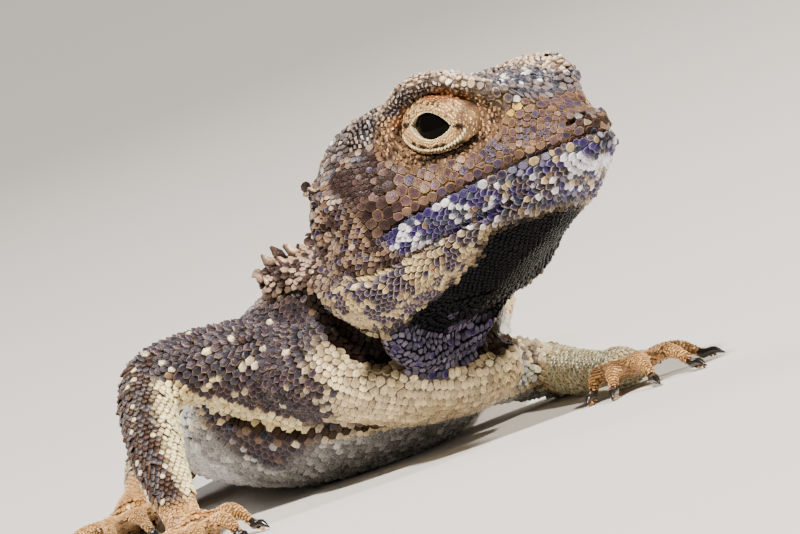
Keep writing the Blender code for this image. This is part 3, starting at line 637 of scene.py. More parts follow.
def growLips():
    # one row of large scales above the mouth line and one below, on both sides
    for side in (-1, 1):
        for rise, size in lipSet["rows"]:
            back = lipSet["from"]
            while back < pose["mouthEnd"] - 0.2:
                hit, normal = castSide(back, mouthUp(back) + rise, side)
                if hit is not None:
                    addSpecial(hit, -headForward, size, "labial", lipSet["long"])
                back += lipSet["step"]


lidRows = {
    "step": 0.15, "grain": 0.17, "rim": 0.2, "comb": 0.24, "combRow": 4, "combLong": 1.25, "loose": 0.035,
}


def lidRow(side, row, ring):
    # one row of scales round the lids, at one ring out from the opening
    turns = np.linspace(-math.pi, math.pi, 97)
    edge = [np.array(lidPlace(turn, ring, side)) for turn in turns]
    steps = [np.linalg.norm(after - before) for before, after in zip(edge, edge[1:])]
    lengths = np.concatenate([[0], np.cumsum(steps)])
    place = 0.07 * (row % 2)
    while place < lengths[-1] - 0.08:
        angle = np.interp(place, lengths, turns)
        below = -2.8 < angle < -0.35
        kind = "grain"
        if row == 0:
            kind = "rim"
        if below and row == lidRows["combRow"]:
            kind = "comb"
        if not (below and row == lidRows["combRow"] + 1):
            loose = lidRows["loose"] if kind == "grain" else 0.0
            nearAngle = angle + random.gauss(0, loose * 0.5)
            spot = Vector(fromHead(lidPlace(nearAngle, ring + random.gauss(0, loose), side)))
            farther = Vector(fromHead(lidPlace(angle, ring + 0.15, side)))
            long = lidRows["combLong"] if kind == "comb" else 1.0
            addSpecial(lidTree.find_nearest(spot)[0], farther - spot, lidRows[kind], kind, long)
        place += lidRows[kind] * 1.02


def growLids():
    # rows of fine scales round each opening; one row of the lower lid stands like a comb over a crease
    spread = lidSet["outerHigh"] - lidSet["high"]
    for side in (-1, 1):
        for row in range(int(spread / lidRows["step"]) + 1):
            ring = 0.04 + row * lidRows["step"] / spread
            if ring <= 0.97:
                lidRow(side, row, ring)


spineSet = {
    "nape": (
        ((-5.2, 12.1, 15.2), 0.44), ((-5.9, 12.0, 15.2), 0.6), ((-6.8, 11.9, 15.1), 0.66),
        ((-7.6, 11.6, 14.9), 0.6), ((-8.5, 11.0, 14.3), 0.5), ((-6.7, 11.2, 14.6), 0.42),
        ((-7.6, 11.0, 14.4), 0.44), ((-8.2, 10.6, 13.9), 0.4),
    ),
    "napeShift": 2.5, "napeLong": (1.1, 1.45),
    "ear": 0.26, "earCount": 22, "earWide": 0.95, "earStagger": 0.5, "earLong": (1.2, 1.8),
}


def growSpines():
    # large spines along the near and far nape folds, and a fringe round each ear
    for side in (-1, 1):
        for (out, along, up), size in spineSet["nape"]:
            place = Vector((out * -side + (0 if side < 0 else spineSet["napeShift"]), along, up))
            hit, normal, face, far = skinTree.find_nearest(place, 4)
            if hit is not None:
                lie = Vector((side * 0.45, 0.1, 1)) + normal * 0.3
                addSpecial(hit, lie, size, "spine", random.uniform(*spineSet["napeLong"]))
    for side in (-1, 1):
        for i in range(spineSet["earCount"]):
            angle = math.tau * (i + 0.3) / spineSet["earCount"]
            wide = spineSet["earWide"] + spineSet["earStagger"] * (i % 2)
            back = pose["ear"][0] + wide * math.cos(angle)
            up = pose["ear"][2] + wide * 1.3 * math.sin(angle)
            hit, normal = castSide(back, up, side)
            if hit is not None and abs(normal @ headLeft) > 0.55:
                outwards = (0.7 - 0.8 * math.cos(angle), 0, -0.6 * math.sin(angle))
                lie = fromHead(outwards) - fromHead((0, 0, 0))
                size = spineSet["ear"] * random.uniform(0.7, 1.2)
                addSpecial(hit, lie, size, "spine", random.uniform(*spineSet["earLong"]))


growLips()
growLids()
growSpines()
print("stage: special scales", len(special["point"]))


def cull(points, size, keepFirst):
    # drops each point that sits closer to an earlier kept one than their sizes allow
    cell = 0.6
    grid = {}
    kept = np.zeros(len(points), bool)
    keys = [tuple(key) for key in np.floor(points / cell).astype(int).tolist()]
    around = list(itertools.product((-1, 0, 1), repeat=3))

    def crowded(i, key):
        for dx, dy, dz in around:
            for j in grid.get((key[0] + dx, key[1] + dy, key[2] + dz), ()):
                gap = points[i] - points[j]
                if gap @ gap < (0.4 * (size[i] + size[j])) ** 2:
                    return True
        return False

    for i, key in enumerate(keys):
        if i < keepFirst or not crowded(i, key):
            kept[i] = True
            grid.setdefault(key, []).append(i)
    return kept


def treeOf(points):
    tree = KDTree(len(points))
    for i, point in enumerate(points):
        tree.insert(point, i)
    tree.balance()
    return tree


def bareSkin(points):
    # behind the lids, in the nostrils and deep in the ear pits no scales grow
    places = toHead(points)
    back, side, up = places[:, 0], np.abs(places[:, 1]), places[:, 2]
    ear, nose = pose["ear"], pose["nostril"]
    lidded = (lidShare(places) < 0.95) & (side > 3.0) & (side < 8)
    nostril = (np.hypot(back - nose[0], up - nose[2]) < 0.36) & (side > 0.8) & (side < 3)
    pit = (np.hypot((back - ear[0]) / 0.6, (up - ear[2]) / 0.8) < 1) & (side > 5)
    return lidded | nostril | pit


def unordered(points, axis):
    # crown, gular pouch, top of the snout and the skin round the eyes carry their scales in no rows
    places = toHead(points)
    back, side, up = places[:, 0], np.abs(places[:, 1]), places[:, 2]
    nearLids = (lidShare(places) < 1.4) & (side > 3)
    return (axis == 0) & ((up > 4.3) | (up < regionSet["pouchUp"]) | (back < 7) & (up > 1.9) | nearLids)


def layScales():
    # the special scales first, then the rows, then the skin's own points wherever it is still bare
    axis = np.array(seeds["axis"])
    points = np.array(seeds["point"])
    clear = ~bareSkin(points) & ~unordered(points, axis)
    points, axis, lies = points[clear], axis[clear], np.array(seeds["lie"])[clear]
    sizes = spacingAt(points, axis)
    nearby = treeOf(points)
    first = np.array(special["point"])
    firstAxis = np.array([axis[nearby.find(point)[1]] for point in first])
    points = np.concatenate([first, points])
    sizes = np.concatenate([special["size"], sizes])
    kept = cull(points, sizes, len(first))
    points, sizes = points[kept], sizes[kept]
    axes = np.concatenate([firstAxis, axis])[kept]
    lies = np.concatenate([special["lie"], lies])[kept]
    print("   kept of the rows", len(points))
    tree = treeOf(points)
    order = rng.permutation(np.where(~bareSkin(skinPoints))[0])
    found = [tree.find(skinPoints[i]) for i in order]
    owner = np.array([j for place, j, far in found])
    nearest = np.array([far for place, j, far in found])
    own = spacingAt(skinPoints[order], axes[owner])
    bare = nearest > 0.45 * (sizes[owner] + own)
    owner = owner[bare]
    rowCount = len(points)
    points = np.concatenate([points, skinPoints[order[bare]]])
    sizes = np.concatenate([sizes, own[bare]])
    axes = np.concatenate([axes, axes[owner]])
    lies = np.concatenate([lies, lies[owner]])
    kept = cull(points, sizes * np.where(np.arange(len(points)) < rowCount, 1, 1.12), rowCount)
    print("   with fill", kept.sum())
    return points[kept], sizes[kept], axes[kept], lies[kept], len(first)


scalePoint, scaleSize, scaleAxis, scaleLie, specialCount = layScales()


def settle(points, sizes, fixed, rounds):
    # pushes close neighbours apart along the skin
    for turn in range(rounds):
        tree = treeOf(points)
        push = np.zeros_like(points)
        for i in range(fixed, len(points)):
            for other, j, far in tree.find_n(points[i], 7):
                want = 0.5 * (sizes[i] + sizes[j])
                if j != i and 1e-6 <= far < want:
                    push[i] += (points[i] - other) / far * (want - far) * 0.3
        points = points + push
        for i in range(fixed, len(points)):
            points[i] = skinTree.find_nearest(Vector(points[i]))[0]
    return points


scalePoint = settle(scalePoint, scaleSize, specialCount, 2)
# scales near the seam of head and neck go with the part whose solid they lie on
seamReach = {0: 1.2, 1: 0.36}
for i in np.where((scaleAxis <= 1) & (scalePoint[:, 1] < 22))[0]:
    far = headTree.find_nearest(Vector(scalePoint[i]))[3]
    scaleAxis[i] = 0 if far < seamReach[int(scaleAxis[i])] else 1
scaleNormal = np.array([skinTree.find_nearest(Vector(point))[1] for point in scalePoint])
fineGrains = (scaleSize < 0.26) & (scaleSize > 0.245) & (scaleAxis == 0)
fineGrains[:specialCount] = False
scaleSize[fineGrains] *= 1.25
print("stage: scales laid", len(scalePoint))

# Each scale fills its own cell between its neighbours. Lengths and heights are shares of the scale's size,
# tilt and jitter are degrees.
plainForm = {"over": 0.0, "point": 0.0, "keel": 0.0, "tilt": 0, "jitter": 5}
formSet = {
    "granule": {"dome": 0.25, "inset": 0.18, "bevel": 0.75, "thick": 0.24},
    "grain": {"dome": 0.15, "inset": 0.2, "bevel": 0.7, "thick": 0.2, "jitter": 6},
    "rim": {"dome": 0.15, "inset": 0.25, "bevel": 0.6, "thick": 0.3, "jitter": 1},
    "plate": {
        "dome": 0.02, "inset": 0.16, "bevel": 1.12, "over": 0.04, "thick": 0.14, "tilt": 4, "jitter": 8,
    },
    "crag": {
        "dome": 0.55, "inset": 0.4, "bevel": 0.6, "over": 0.2, "point": 0.15, "keel": 0.5,
        "thick": 0.26, "tilt": 10, "jitter": 20,
    },
    "shingle": {
        "dome": 0.0, "inset": 0.2, "bevel": 0.94, "over": 0.5, "point": 0.26, "keel": 0.12,
        "thick": 0.21, "tilt": 23,
    },
    "tile": {
        "dome": 0.04, "inset": 0.16, "bevel": 0.9, "over": 0.24, "point": 0.1, "thick": 0.19, "tilt": 10,
    },
    "keeled": {
        "dome": 0.06, "inset": 0.2, "bevel": 0.8, "over": 0.42, "point": 0.35, "keel": 0.45,
        "thick": 0.17, "tilt": 20, "jitter": 9,
    },
    "spine": {
        "dome": 0.2, "inset": 0.3, "bevel": 0.6, "over": 0.7, "point": 1.3, "keel": 0.5,
        "thick": 0.4, "tilt": 30, "jitter": 9,
    },
    "comb": {"dome": 0.1, "inset": 0.25, "bevel": 0.6, "over": 0.15, "thick": 0.55, "tilt": 6, "jitter": 3},
    "labial": {
        "dome": 0.04, "inset": 0.14, "bevel": 0.95, "over": 0.04, "thick": 0.2, "tilt": 3, "jitter": 3,
    },
}
formSet = {name: {**plainForm, **values} for name, values in formSet.items()}


def scaleForm(sides):
    # a closed plate of unit radius with a rounded edge: base ring, top ring, inner ring and centre
    form = bmesh.new()
    bmesh.ops.create_circle(form, cap_ends=True, segments=sides, radius=1)
    raised = bmesh.ops.extrude_face_region(form, geom=form.faces[:])
    raised = [item for item in raised["geom"] if isinstance(item, bmesh.types.BMVert)]
    bmesh.ops.translate(form, vec=(0, 0, 1), verts=raised)
    lid = [face for face in form.faces if min(vert.co.z for vert in face.verts) > 0.5]
    bmesh.ops.inset_individual(form, faces=lid, thickness=0.3, depth=0)
    bmesh.ops.translate(form, vec=(0, 0, 1), verts=list(lid[0].verts))
    poked = bmesh.ops.poke(form, faces=lid)
    bmesh.ops.translate(form, vec=(0, 0, 1), verts=poked["verts"])
    bmesh.ops.recalc_face_normals(form, faces=form.faces)
    form.verts.index_update()
    points = np.array([vert.co for vert in form.verts])
    faces = [[vert.index for vert in face.verts] for face in form.faces]
    closed = all(len(edge.link_faces) == 2 for edge in form.edges)
    top = np.array([min(vert.co.z for vert in face.verts) > 0.5 for face in form.faces])
    form.free()
    angle = np.arctan2(points[:, 1], points[:, 0])
    ring = np.round(points[:, 2]).astype(int)
    spoke = np.round(angle / (math.tau / sides)).astype(int) % sides
    flat = points[:, :2]
    return {"ring": ring, "spoke": spoke, "faces": faces, "closed": closed, "top": top, "flat": flat}


formSides = (12, 8, 6)
forms = {sides: scaleForm(sides) for sides in formSides}
print("stage: forms", {sides: (len(form["faces"]), form["closed"]) for sides, form in forms.items()})


def tint(red, green, blue):
    # a screen colour, 0 to 255, as light
    value = np.array([red, green, blue], float) / 255
    return np.where(value <= 0.04045, value / 12.92, ((value + 0.055) / 1.055) ** 2.4)


def waves(points, size, number):
    # smooth noise from -1 to 1 with patches of about the given size
    own = np.random.default_rng(number)
    total = np.zeros(len(points))
    for i in range(7):
        direction = own.normal(0, 1, 3)
        direction /= np.linalg.norm(direction)
        step = math.tau / (size * own.uniform(1.2, 2.6))
        total += np.sin(points @ direction * step + own.uniform(0, math.tau))
    return total / 3.2


def ramp(value, low, high):
    return np.clip((value - low) / (high - low), 0, 1)


# Each hide colour: the middle of a scale, then its edge, as screen colours.
hide = {
    "back": ((146, 124, 98), (176, 154, 124)),
    "backDark": ((88, 70, 58), (122, 100, 82)),
    "backPale": ((196, 178, 146), (214, 198, 168)),
    "flank": ((112, 96, 104), (166, 148, 132)),
    "belly": ((178, 176, 172), (206, 204, 200)),
    "bellyFront": ((132, 128, 126), (178, 172, 166)),
    "chest": ((216, 190, 146), (240, 220, 182)),
    "chestDull": ((186, 160, 122), (222, 200, 160)),
    "shoulder": ((46, 36, 50), (152, 130, 114)),
    # crown and crownWarm: the top of each crag is painted lighter than its dark edge, as a glint
    "crown": ((116, 104, 102), (60, 53, 55)),
    "crownWarm": ((176, 150, 128), (84, 70, 62)),
    # painted glints: near-white crown and snout scales
    "paintedGlint": ((240, 236, 230), (140, 134, 136)),
    "front": ((74, 66, 74), (160, 136, 106)),
    "cheek": ((74, 54, 60), (160, 126, 86)),
    "cheekTan": ((98, 74, 64), (166, 132, 90)),
    "cheekBlue": ((54, 46, 66), (140, 112, 92)),
    "temple": ((44, 32, 32), (88, 68, 56)),
    "templePale": ((104, 82, 66), (164, 138, 110)),
    "slate": ((42, 46, 60), (120, 118, 126)),
    "violet": ((36, 28, 64), (118, 106, 144)),
    # white: the jaw's pale scales, partly their own colour and partly painted highlight; also the salt crust
    "white": ((192, 182, 196), (252, 248, 250)),
    "jowl": ((138, 114, 80), (228, 206, 160)),
    "jowlDark": ((34, 26, 48), (150, 134, 124)),
    "browPale": ((226, 200, 172), (168, 142, 118)),
    # throat: painted black as shade under the head
    "throat": ((8, 8, 14), (5, 5, 9)),
    "gular": ((74, 68, 84), (34, 30, 44)),
    "gularPale": ((104, 98, 116), (46, 44, 64)),
    "orange": ((204, 134, 78), (162, 106, 68)),
    "spot": ((196, 152, 74), (206, 176, 110)),
    "hollow": ((30, 22, 18), (20, 15, 13)),
    "wrinkle": ((168, 128, 92), (150, 114, 82)),
    "lid": ((240, 194, 130), (222, 174, 112)),
    "lidRim": ((248, 228, 176), (226, 198, 146)),
    # painted shade in the creases of the lids
    "paintedCreaseShade": ((40, 30, 24), (24, 19, 16)),
    "wrinkleDark": ((92, 68, 52), (72, 56, 44)),
    "shade": ((58, 44, 34), (34, 26, 22)),
    "nape": ((164, 134, 112), (112, 92, 80)),
    "arm": ((44, 42, 52), (112, 98, 88)),
    "armUnder": ((222, 196, 146), (240, 220, 176)),
    # the left arm's cream painted brighter, as if in light
    "armPaintedLight": ((255, 222, 176), (255, 234, 200)),
    "hand": ((196, 146, 88), (226, 178, 120)),
    "handDark": ((160, 112, 66), (196, 148, 96)),
}
hide = {name: (tint(*middle), tint(*edge)) for name, (middle, edge) in hide.items()}
hideSet = {"colourfulness": 1.05, "spread": 0.6}
bandSet = {
    "first": 18, "firstSpot": 22, "step": 7.6, "spotOut": 4.2, "spotsFrom": 16,
    "tailFrom": 74, "tailFirst": 78, "tailStep": 5.6, "flankTo": 76, "ventTo": 72,
    "legFirst": 10, "legStep": 3.4,
}
# The cream strip over the right arm: its height at one place, and its slope.
armStrip = {"at": (-17.2, 10.5), "slope": -0.71}


def lookAround(points, normals, axis, chance):
    # what the markings go by: each scale's place, its place in the head, soft noise and three draws
    places = toHead(points)
    back, out, up = places.T
    x, y, z = points.T
    return SimpleNamespace(
        points=points, normals=normals, places=places, back=back, out=out, up=up, x=x, y=y, z=z,
        side=np.abs(out), low=up - mouthUp(back), axis=axis, chance=chance,
        soft=waves(points, 3.0, 3), fine=waves(points, 1.1, 5), broad=waves(points, 9.0, 7),
        salt=chance * 2 - 1, flip=(chance * 7.13) % 1, third=(chance * 31.7) % 1,
    )


def markTrunk(lay, at):
    # cross bands and pale spots on the back, speckled flanks, pale below
    body = at.axis == 1
    y, z, salt, soft, down = at.y, at.z, at.salt, at.soft, -at.normals[:, 2]
    centreX = np.interp(y, [row[1] for row in bodyAxis], [row[0] for row in bodyAxis])
    bands = np.cos((y - bandSet["first"]) / bandSet["step"] * math.pi + 0.5 * soft) * 0.6 + 0.3 * at.broad
    lay(ramp(bands + 0.25 * salt, 0.25, 0.55) * 0.75, "backDark")
    spots = np.cos((y - bandSet["firstSpot"]) / bandSet["step"] * math.pi)
    spots += np.cos((np.abs(at.x - centreX) - bandSet["spotOut"]) * 0.9) + 0.4 * soft
    lay(ramp(spots + 0.3 * salt, 1.2, 1.7) * (y > bandSet["spotsFrom"]) * body * 0.85, "backPale")
    tail = np.cos((y - bandSet["tailFirst"]) / bandSet["tailStep"] * math.pi)
    lay(body * (y > bandSet["tailFrom"]) * ramp(tail + 0.3 * salt, 0.0, 0.5) * 0.6, "backPale")
    flank = body * ramp(0.45 + down, 0, 0.5) * (y < bandSet["flankTo"])
    lay(flank, "flank")
    lay(flank * ramp(at.fine + 0.8 * salt, 0.2, 0.5), "backPale")
    lay(body * ramp(down + 0.15 * soft, -0.25, 0.05), "belly")
    lay(body * (y > bandSet["ventTo"]) * ramp(down, -0.05, 0.3), "armUnder")


def markChest(lay, at):
    # cream chest, grey below the breast fold, violet brown shoulders with a cream strip over the arm
    body = at.axis == 1
    x, y, z, salt, soft, flip, third = at.x, at.y, at.z, at.salt, at.soft, at.flip, at.third
    facing = -at.normals[:, 1] - 0.25 * at.normals[:, 2]
    chest = body * ramp(16.8 - y + 0.15 * z, 0, 1.2) * ramp(facing, -0.1, 0.25)
    lay(chest, "chest")
    lay(chest * (flip > 0.7), "chestDull")
    fold = np.array(neckFolds["pectoral"])
    foldUp = np.interp(x, fold[:, 0], fold[:, 2])
    lowFront = body * (y < 20) * ramp(foldUp - z, 0.1, 0.5)
    lay(lowFront, "bellyFront")
    lay(lowFront * (flip > 0.7), "belly")
    lay(lowFront * ramp(0.62 + z - foldUp, 0, 0.1), "chest")
    speckled = chest * ramp(-x - 5.4 + 0.55 * (z - 8.6) + 1.0 * soft, 0, 2.2)
    lay(speckled * (salt < 0.84), "shoulder")
    lay(speckled * (flip > 0.86), "slate")
    lay(speckled * (third > 0.86), "templePale")
    stripX, stripZ = armStrip["at"]
    aboveStrip = z - stripZ - armStrip["slope"] * (x - stripX)
    overArm = body * ramp(21 - y + 2 * soft + 2 * salt, 0, 3)
    overArm = overArm * ramp(-6.6 - x + 1.1 * soft + 0.9 * salt, 0, 0.5)
    upper = overArm * ramp(aboveStrip - 0.2, 0, 0.4)
    lay(overArm * ramp(aboveStrip - 0.2 + 0.25 * soft, 0, 0.4), "arm")
    lay(upper * (flip > 0.5), "shoulder")
    lay(upper * (third > 0.955), "backPale")
    lay(overArm * (x < -9) * (aboveStrip > -1.1) * (aboveStrip < 0.3), "armUnder")
    lay(body * (y < 24) * ramp(z - 5.9 + 0.3 * soft, 0, 0.8) * ramp(x - 3.0, 0, 0.6), "shoulder")
    nape = body * (y < 15) * ramp(z - 12.4, 0, 1.2)
    lay(nape, "nape")
    lay(nape * (flip > 0.6), "temple")


def markLimbs(lay, at):
    # dark right arm with a cream inner side, left arm painted a brighter cream as if lit, banded legs, tan
    # hands and feet
    rightArm, leg = at.axis == 2, (at.axis == 4) | (at.axis == 5)
    leftArm = (at.axis == 3) & (at.y < regionSet["leftArmTo"])
    limb = (at.axis >= 2) & (at.axis <= 5)
    down = -at.normals[:, 2] + 0.1 * at.soft
    lay(rightArm, "arm")
    lay(rightArm * (at.flip > 0.62), "temple")
    bands = np.cos((at.y - bandSet["legFirst"]) / bandSet["legStep"] * math.pi + 0.6 * at.soft)
    lay(leg * ramp(bands + 0.5 * at.salt, 0.2, 0.6), "backDark")
    lay(limb * (at.third > 0.92), "backPale")
    lay(limb * ramp(down - 0.1, 0.0, 0.3) * (np.abs(at.x) < 13), "armUnder")
    lay(limb * ramp(down, 0.0, 0.3), "armUnder")
    lay(rightArm * ramp(at.normals[:, 0] - 0.3 + 0.1 * at.soft, 0, 0.3) * (at.x < -8), "armUnder")
    # painted light: the left arm brighter than the other limbs' cream
    lay(leftArm, "armPaintedLight")
    lay(leftArm * (at.third > 0.7), "armUnder")
    lay(limb * ramp(3.8 - at.z + 0.3 * at.soft, 0, 0.9) * (np.abs(at.x) > 8) * (at.axis != 3), "hand")
    digit = at.axis == 6
    lay(digit, "hand")
    lay((digit | (limb & (at.z < 3.2) & (at.axis != 3))) * (at.flip > 0.66), "handDark")


def markUpperHead(lay, at):
    # slate crown and snout with painted glints, mauve cheek plates with tan edges, and the temples between
    head = at.axis == 0
    back, up, soft, flip, third = at.back, at.up, at.soft, at.flip, at.third
    above = head & (at.low > 0)
    lay(head, "temple")
    lay(head * (flip > 0.55), "templePale")
    lay(head * (third > 0.9), "slate")
    top = head * ramp(up - 3.7 - 0.1 * (back - 8) + 0.3 * soft + 0.3 * at.salt, -0.3, 0.5)
    lay(top, "crown")
    lay(top * (flip > 0.66), "crownWarm")
    # painted glints on a few crown scales
    lay(top * (third > 0.95), "paintedGlint")
    snout = above * ramp(6.8 - back + 0.4 * soft, 0, 1) * ramp(up - 1.1, 0, 0.5)
    lay(snout * (third < 0.9), "front")
    topFacing = np.maximum(at.normals @ np.array(headUp) - 0.42, 0.35 * (back < 3.4) * (up - 1.9))
    topSnout = snout * ramp(topFacing + 0.1 * soft, 0, 0.15)
    lay(topSnout, "crown")
    lay(topSnout * (flip > 0.45), "slate")
    # painted glints on the snout's top
    lay(topSnout * (third > 0.86), "paintedGlint")
    tip = above * ramp(3.7 - back + 0.4 * soft, 0, 0.6) * (up > 0.9)
    lay(tip * (at.chance < 0.8), "crown")
    lay(tip * (flip > 0.55), "slate")
    # painted glints on the snout's tip
    lay(tip * (third > 0.93), "paintedGlint")
    cheek = above * ramp(3.4 - up, 0, 0.5) * ramp(14.4 - back + 0.6 * soft, 0, 1.2)
    cheek = cheek * ramp(back - 0.6, 0, 0.8)
    lay(cheek, "cheek")
    lay(cheek * (flip > 0.62), "cheekTan")
    lay(cheek * (third > 0.8), "cheekBlue")
    lay(above * (np.hypot(back - 3.6, up - 3.0) < 0.36), "spot")


def markEyeSurround(lay, at):
    # tan granules round the lids, painted shade in the crease below them, a pale brow and orange in its fold
    back, up, side, soft, flip = at.back, at.up, at.side, at.soft, at.flip
    near = (at.axis == 0) * (side > 3)
    socket = lidShare(at.places)
    lay(near * ramp(1.45 - socket + 0.1 * soft, 0, 0.2) * (up < 5.6), "wrinkle")
    dark = flip + 0.25 * at.fine > 0.6
    lay(near * ramp(1.45 - socket, 0, 0.2) * dark * (up < 5.2), "wrinkleDark")
    under = (up < 3.0 + 0.1 * (eyeSet["back"] - back)) * (np.abs(back - 8.2) < 1.9)
    # painted shade in the crease below the lids
    lay(near * ramp(1.15 - socket, 0, 0.05) * under, "paintedCreaseShade")
    ridge = near * ramp(socket - 1.28, 0, 0.12) * ramp(2.1 - socket, 0, 0.3) * ramp(up - 4.9, 0, 0.3)
    lay(ridge * (back < 12.5) * (flip + 0.2 * at.fine < 0.82), "browPale")
    fold = polyDistance(np.stack([back, up], axis=1), headFolds["underBrow"])[0]
    lay(near * ramp(0.34 - fold + 0.1 * soft, 0, 0.2) * (flip < 0.75) * (side > 4.1) * (up < 6.0), "orange")


def markLowerHead(lay, at):
    # white and violet bars along the jaw, the whites partly painted highlight, cream jowl with dark flecks,
    # throat painted black as shade under the head, slate pouch
    head = at.axis == 0
    back, up, low, soft, fine, salt = at.back, at.up, at.low, at.soft, at.fine, at.salt
    flip, third = at.flip, at.third
    below = head * ramp(-low, 0, 0.12)
    edge = np.interp(back, [0, 5, 10, 14], [4.2, 3.2, 2.9, 2.8])
    jaw = below * ramp(-edge - up, -0.3, 0.2)
    bars = np.sin(back * 1.9 + 0.7 * fine + 0.4)
    # the jaw's whites are partly painted highlight
    lay(below, "white")
    lay(below * (0.5 * bars + 1.1 * salt > -0.25 - 0.1 * (back < 9)), "violet")
    lay(below * (flip > 0.76), "slate")
    lay(below * (third > 0.92), "templePale")
    lay(below * (back < 5.5) * (salt < 0.2) * (salt > -0.4), "gularPale")
    lay(below * (back < 6.2) * (flip < 0.36), "jowlDark")
    lay(below * (back < 6.2) * (third < 0.12), "jowl")
    lay(below * (back > 11.4) * (low > -1.6) * (at.chance < 0.4), "white")
    lay(jaw, "jowl")
    lay(jaw * (fine + 0.9 * salt > 0.12), "jowlDark")
    lay(jaw * (third > 0.88), "templePale")
    lay(head * (back > regionSet["cheekBack"]) * (low > 0) * (flip > 0.5) * (up < 3.6), "temple")
    rear = head * ramp(back - 12.6 - 0.5 * (up + 3) + 0.3 * soft, 0, 0.8) * ramp(up + 3.2, 0, 0.6)
    lay(rear, "temple")
    lay(rear * (flip > 0.55), "templePale")
    lay(rear * (at.chance < 0.12), "cheekTan")
    lay(rear * (up > 1.5) * (at.chance > 0.6), "crownWarm")
    lay(rear * (third > 0.82), "jowlDark")
    # painted shade: throat and far jowl black under the head
    deep = head * ramp(4.9 + 2.2 * (at.out > 0) - at.side + 0.6 * soft + 0.3 * salt, 0, 0.6)
    lay(deep * ramp(-2.6 - up, 0, 1.0), "throat")
    lay(head * ramp(-6.4 - up + 0.3 * salt, 0, 0.5), "throat")
    pouch = head * ramp(-6.8 - up + 0.3 * fine, 0, 0.3)
    lay(pouch, "gular")
    lay(pouch * (flip > 0.8), "gularPale")
    lay(pouch * (third > 0.94), "violet")
    crust = np.hypot(back - 1.6, up + 1.5)
    lay(head * (low < -0.3) * ramp(0.7 - crust + 0.2 * salt, 0, 0.2), "white")


def markFolds(lay, at):
    # shade in the hollow of the neck and in the folds of the breast
    front = (at.axis == 1) * (at.y > 6) * (at.y < 22)
    away, run = foldDistance(at.points, "hollow")
    wide = np.interp(run, [0, 0.3, 0.45, 0.7, 1], [0.3, 0.4, 0.8, 1.15, 1.15])
    lay(front * ramp(wide - away + 0.1 * at.soft, 0, 0.2), "hollow")
    lay(front * ramp(0.6 - foldDistance(at.points, "pouch")[0], 0, 0.3), "hollow")
    besidePouch = (at.x > 3.2) * (at.x < 5.4) * (at.y > 10.5)
    lay(front * besidePouch * ramp(6.9 - at.z, 0, 0.4) * ramp(at.z - 4.4, 0, 0.4), "shade")
    lay(front * ramp(0.3 - foldDistance(at.points, "pectoral")[0], 0, 0.1), "shade")


def markings(points, normals, axis, chance):
    # the middle and edge colour of each scale; a later marking lies over an earlier one
    at = lookAround(points, normals, axis, chance)
    middle = np.zeros((len(points), 3))
    rim = np.zeros((len(points), 3))

    def lay(share, name):
        share = np.clip(share, 0, 1)[:, None]
        for tones, colour in zip((middle, rim), hide[name]):
            tones[:] = tones * (1 - share) + colour * share

    lay(np.ones(len(points)), "back")
    for mark in (markTrunk, markChest, markLimbs, markUpperHead, markEyeSurround, markLowerHead, markFolds):
        mark(lay, at)
    for tones in (middle, rim):
        grey = tones.mean(1)[:, None]
        tones[:] = np.clip(grey + (tones - grey) * hideSet["colourfulness"], 0.002, 1)
    return middle, rim


def pickKinds(points, normals, axis):
    # the form of each scale; a later region lies over an earlier one
    places = toHead(points)
    back, out, up = places.T
    side = np.abs(out)
    low = up - mouthUp(back)
    x, y, z = points.T
    head, body, limb = axis == 0, axis == 1, (axis >= 2) & (axis <= 5)
    chest = body & (y < regionSet["chestTo"]) & (z < 12.5)
    regions = (
        (axis >= 0, "keeled"),
        (head, "plate"),
        (head & (up > 4.2) & ((side < 4.4) | (back > 11) | (up > 6)), "crag"),
        (head & (back > regionSet["cheekBack"]) & (low > 1.2) & (up < 4.8), "tile"),
        (head & (low < -0.6), "shingle"),
        (head & (side < 4.7) & (up < regionSet["throatUp"]), "tile"),
        (head & (back > regionSet["templeBack"]) & (up < 2), "shingle"),
        (head & (up < regionSet["pouchUp"]), "granule"),
        (head & (side < 4.4) & (up < regionSet["throatUp"]), "granule"),
        (atLids(places) & head, "granule"),
        (body & (y >= 15) & (normals[:, 2] < 0), "shingle"),
        (chest, "tile"),
        (chest & (x < -7.5) & (z > 6), "keeled"),
        (axis == 6, "tile"),
        (limb & (z < regionSet["wristUp"]), "tile"),
        ((axis == 3) & (y < regionSet["leftArmTo"]), "tile"),
    )
    kind = np.zeros(len(points), int)
    for region, name in regions:
        kind[region] = kinds.index(name)
    return kind


scaleKind = pickKinds(scalePoint, scaleNormal, scaleAxis)
scaleKind[:specialCount] = special["kind"]
scaleLong = np.ones(len(scalePoint))
scaleLong[:specialCount] = special["long"]
chance = rng.random(len(scalePoint))
middleTone, rimTone = markings(scalePoint, scaleNormal, scaleAxis, chance)


def lidCreaseShadeShare(points):
    # 1 in the crease under the lower lid's comb, where shade is painted on the lids' skin
    along, across = lidAxes(toHead(points))
    bend = np.abs(along)
    return ramp(-1.3 + 0.16 * bend - across, 0, 0.12) * ramp(across + 1.75 - 0.2 * bend, 0, 0.1)


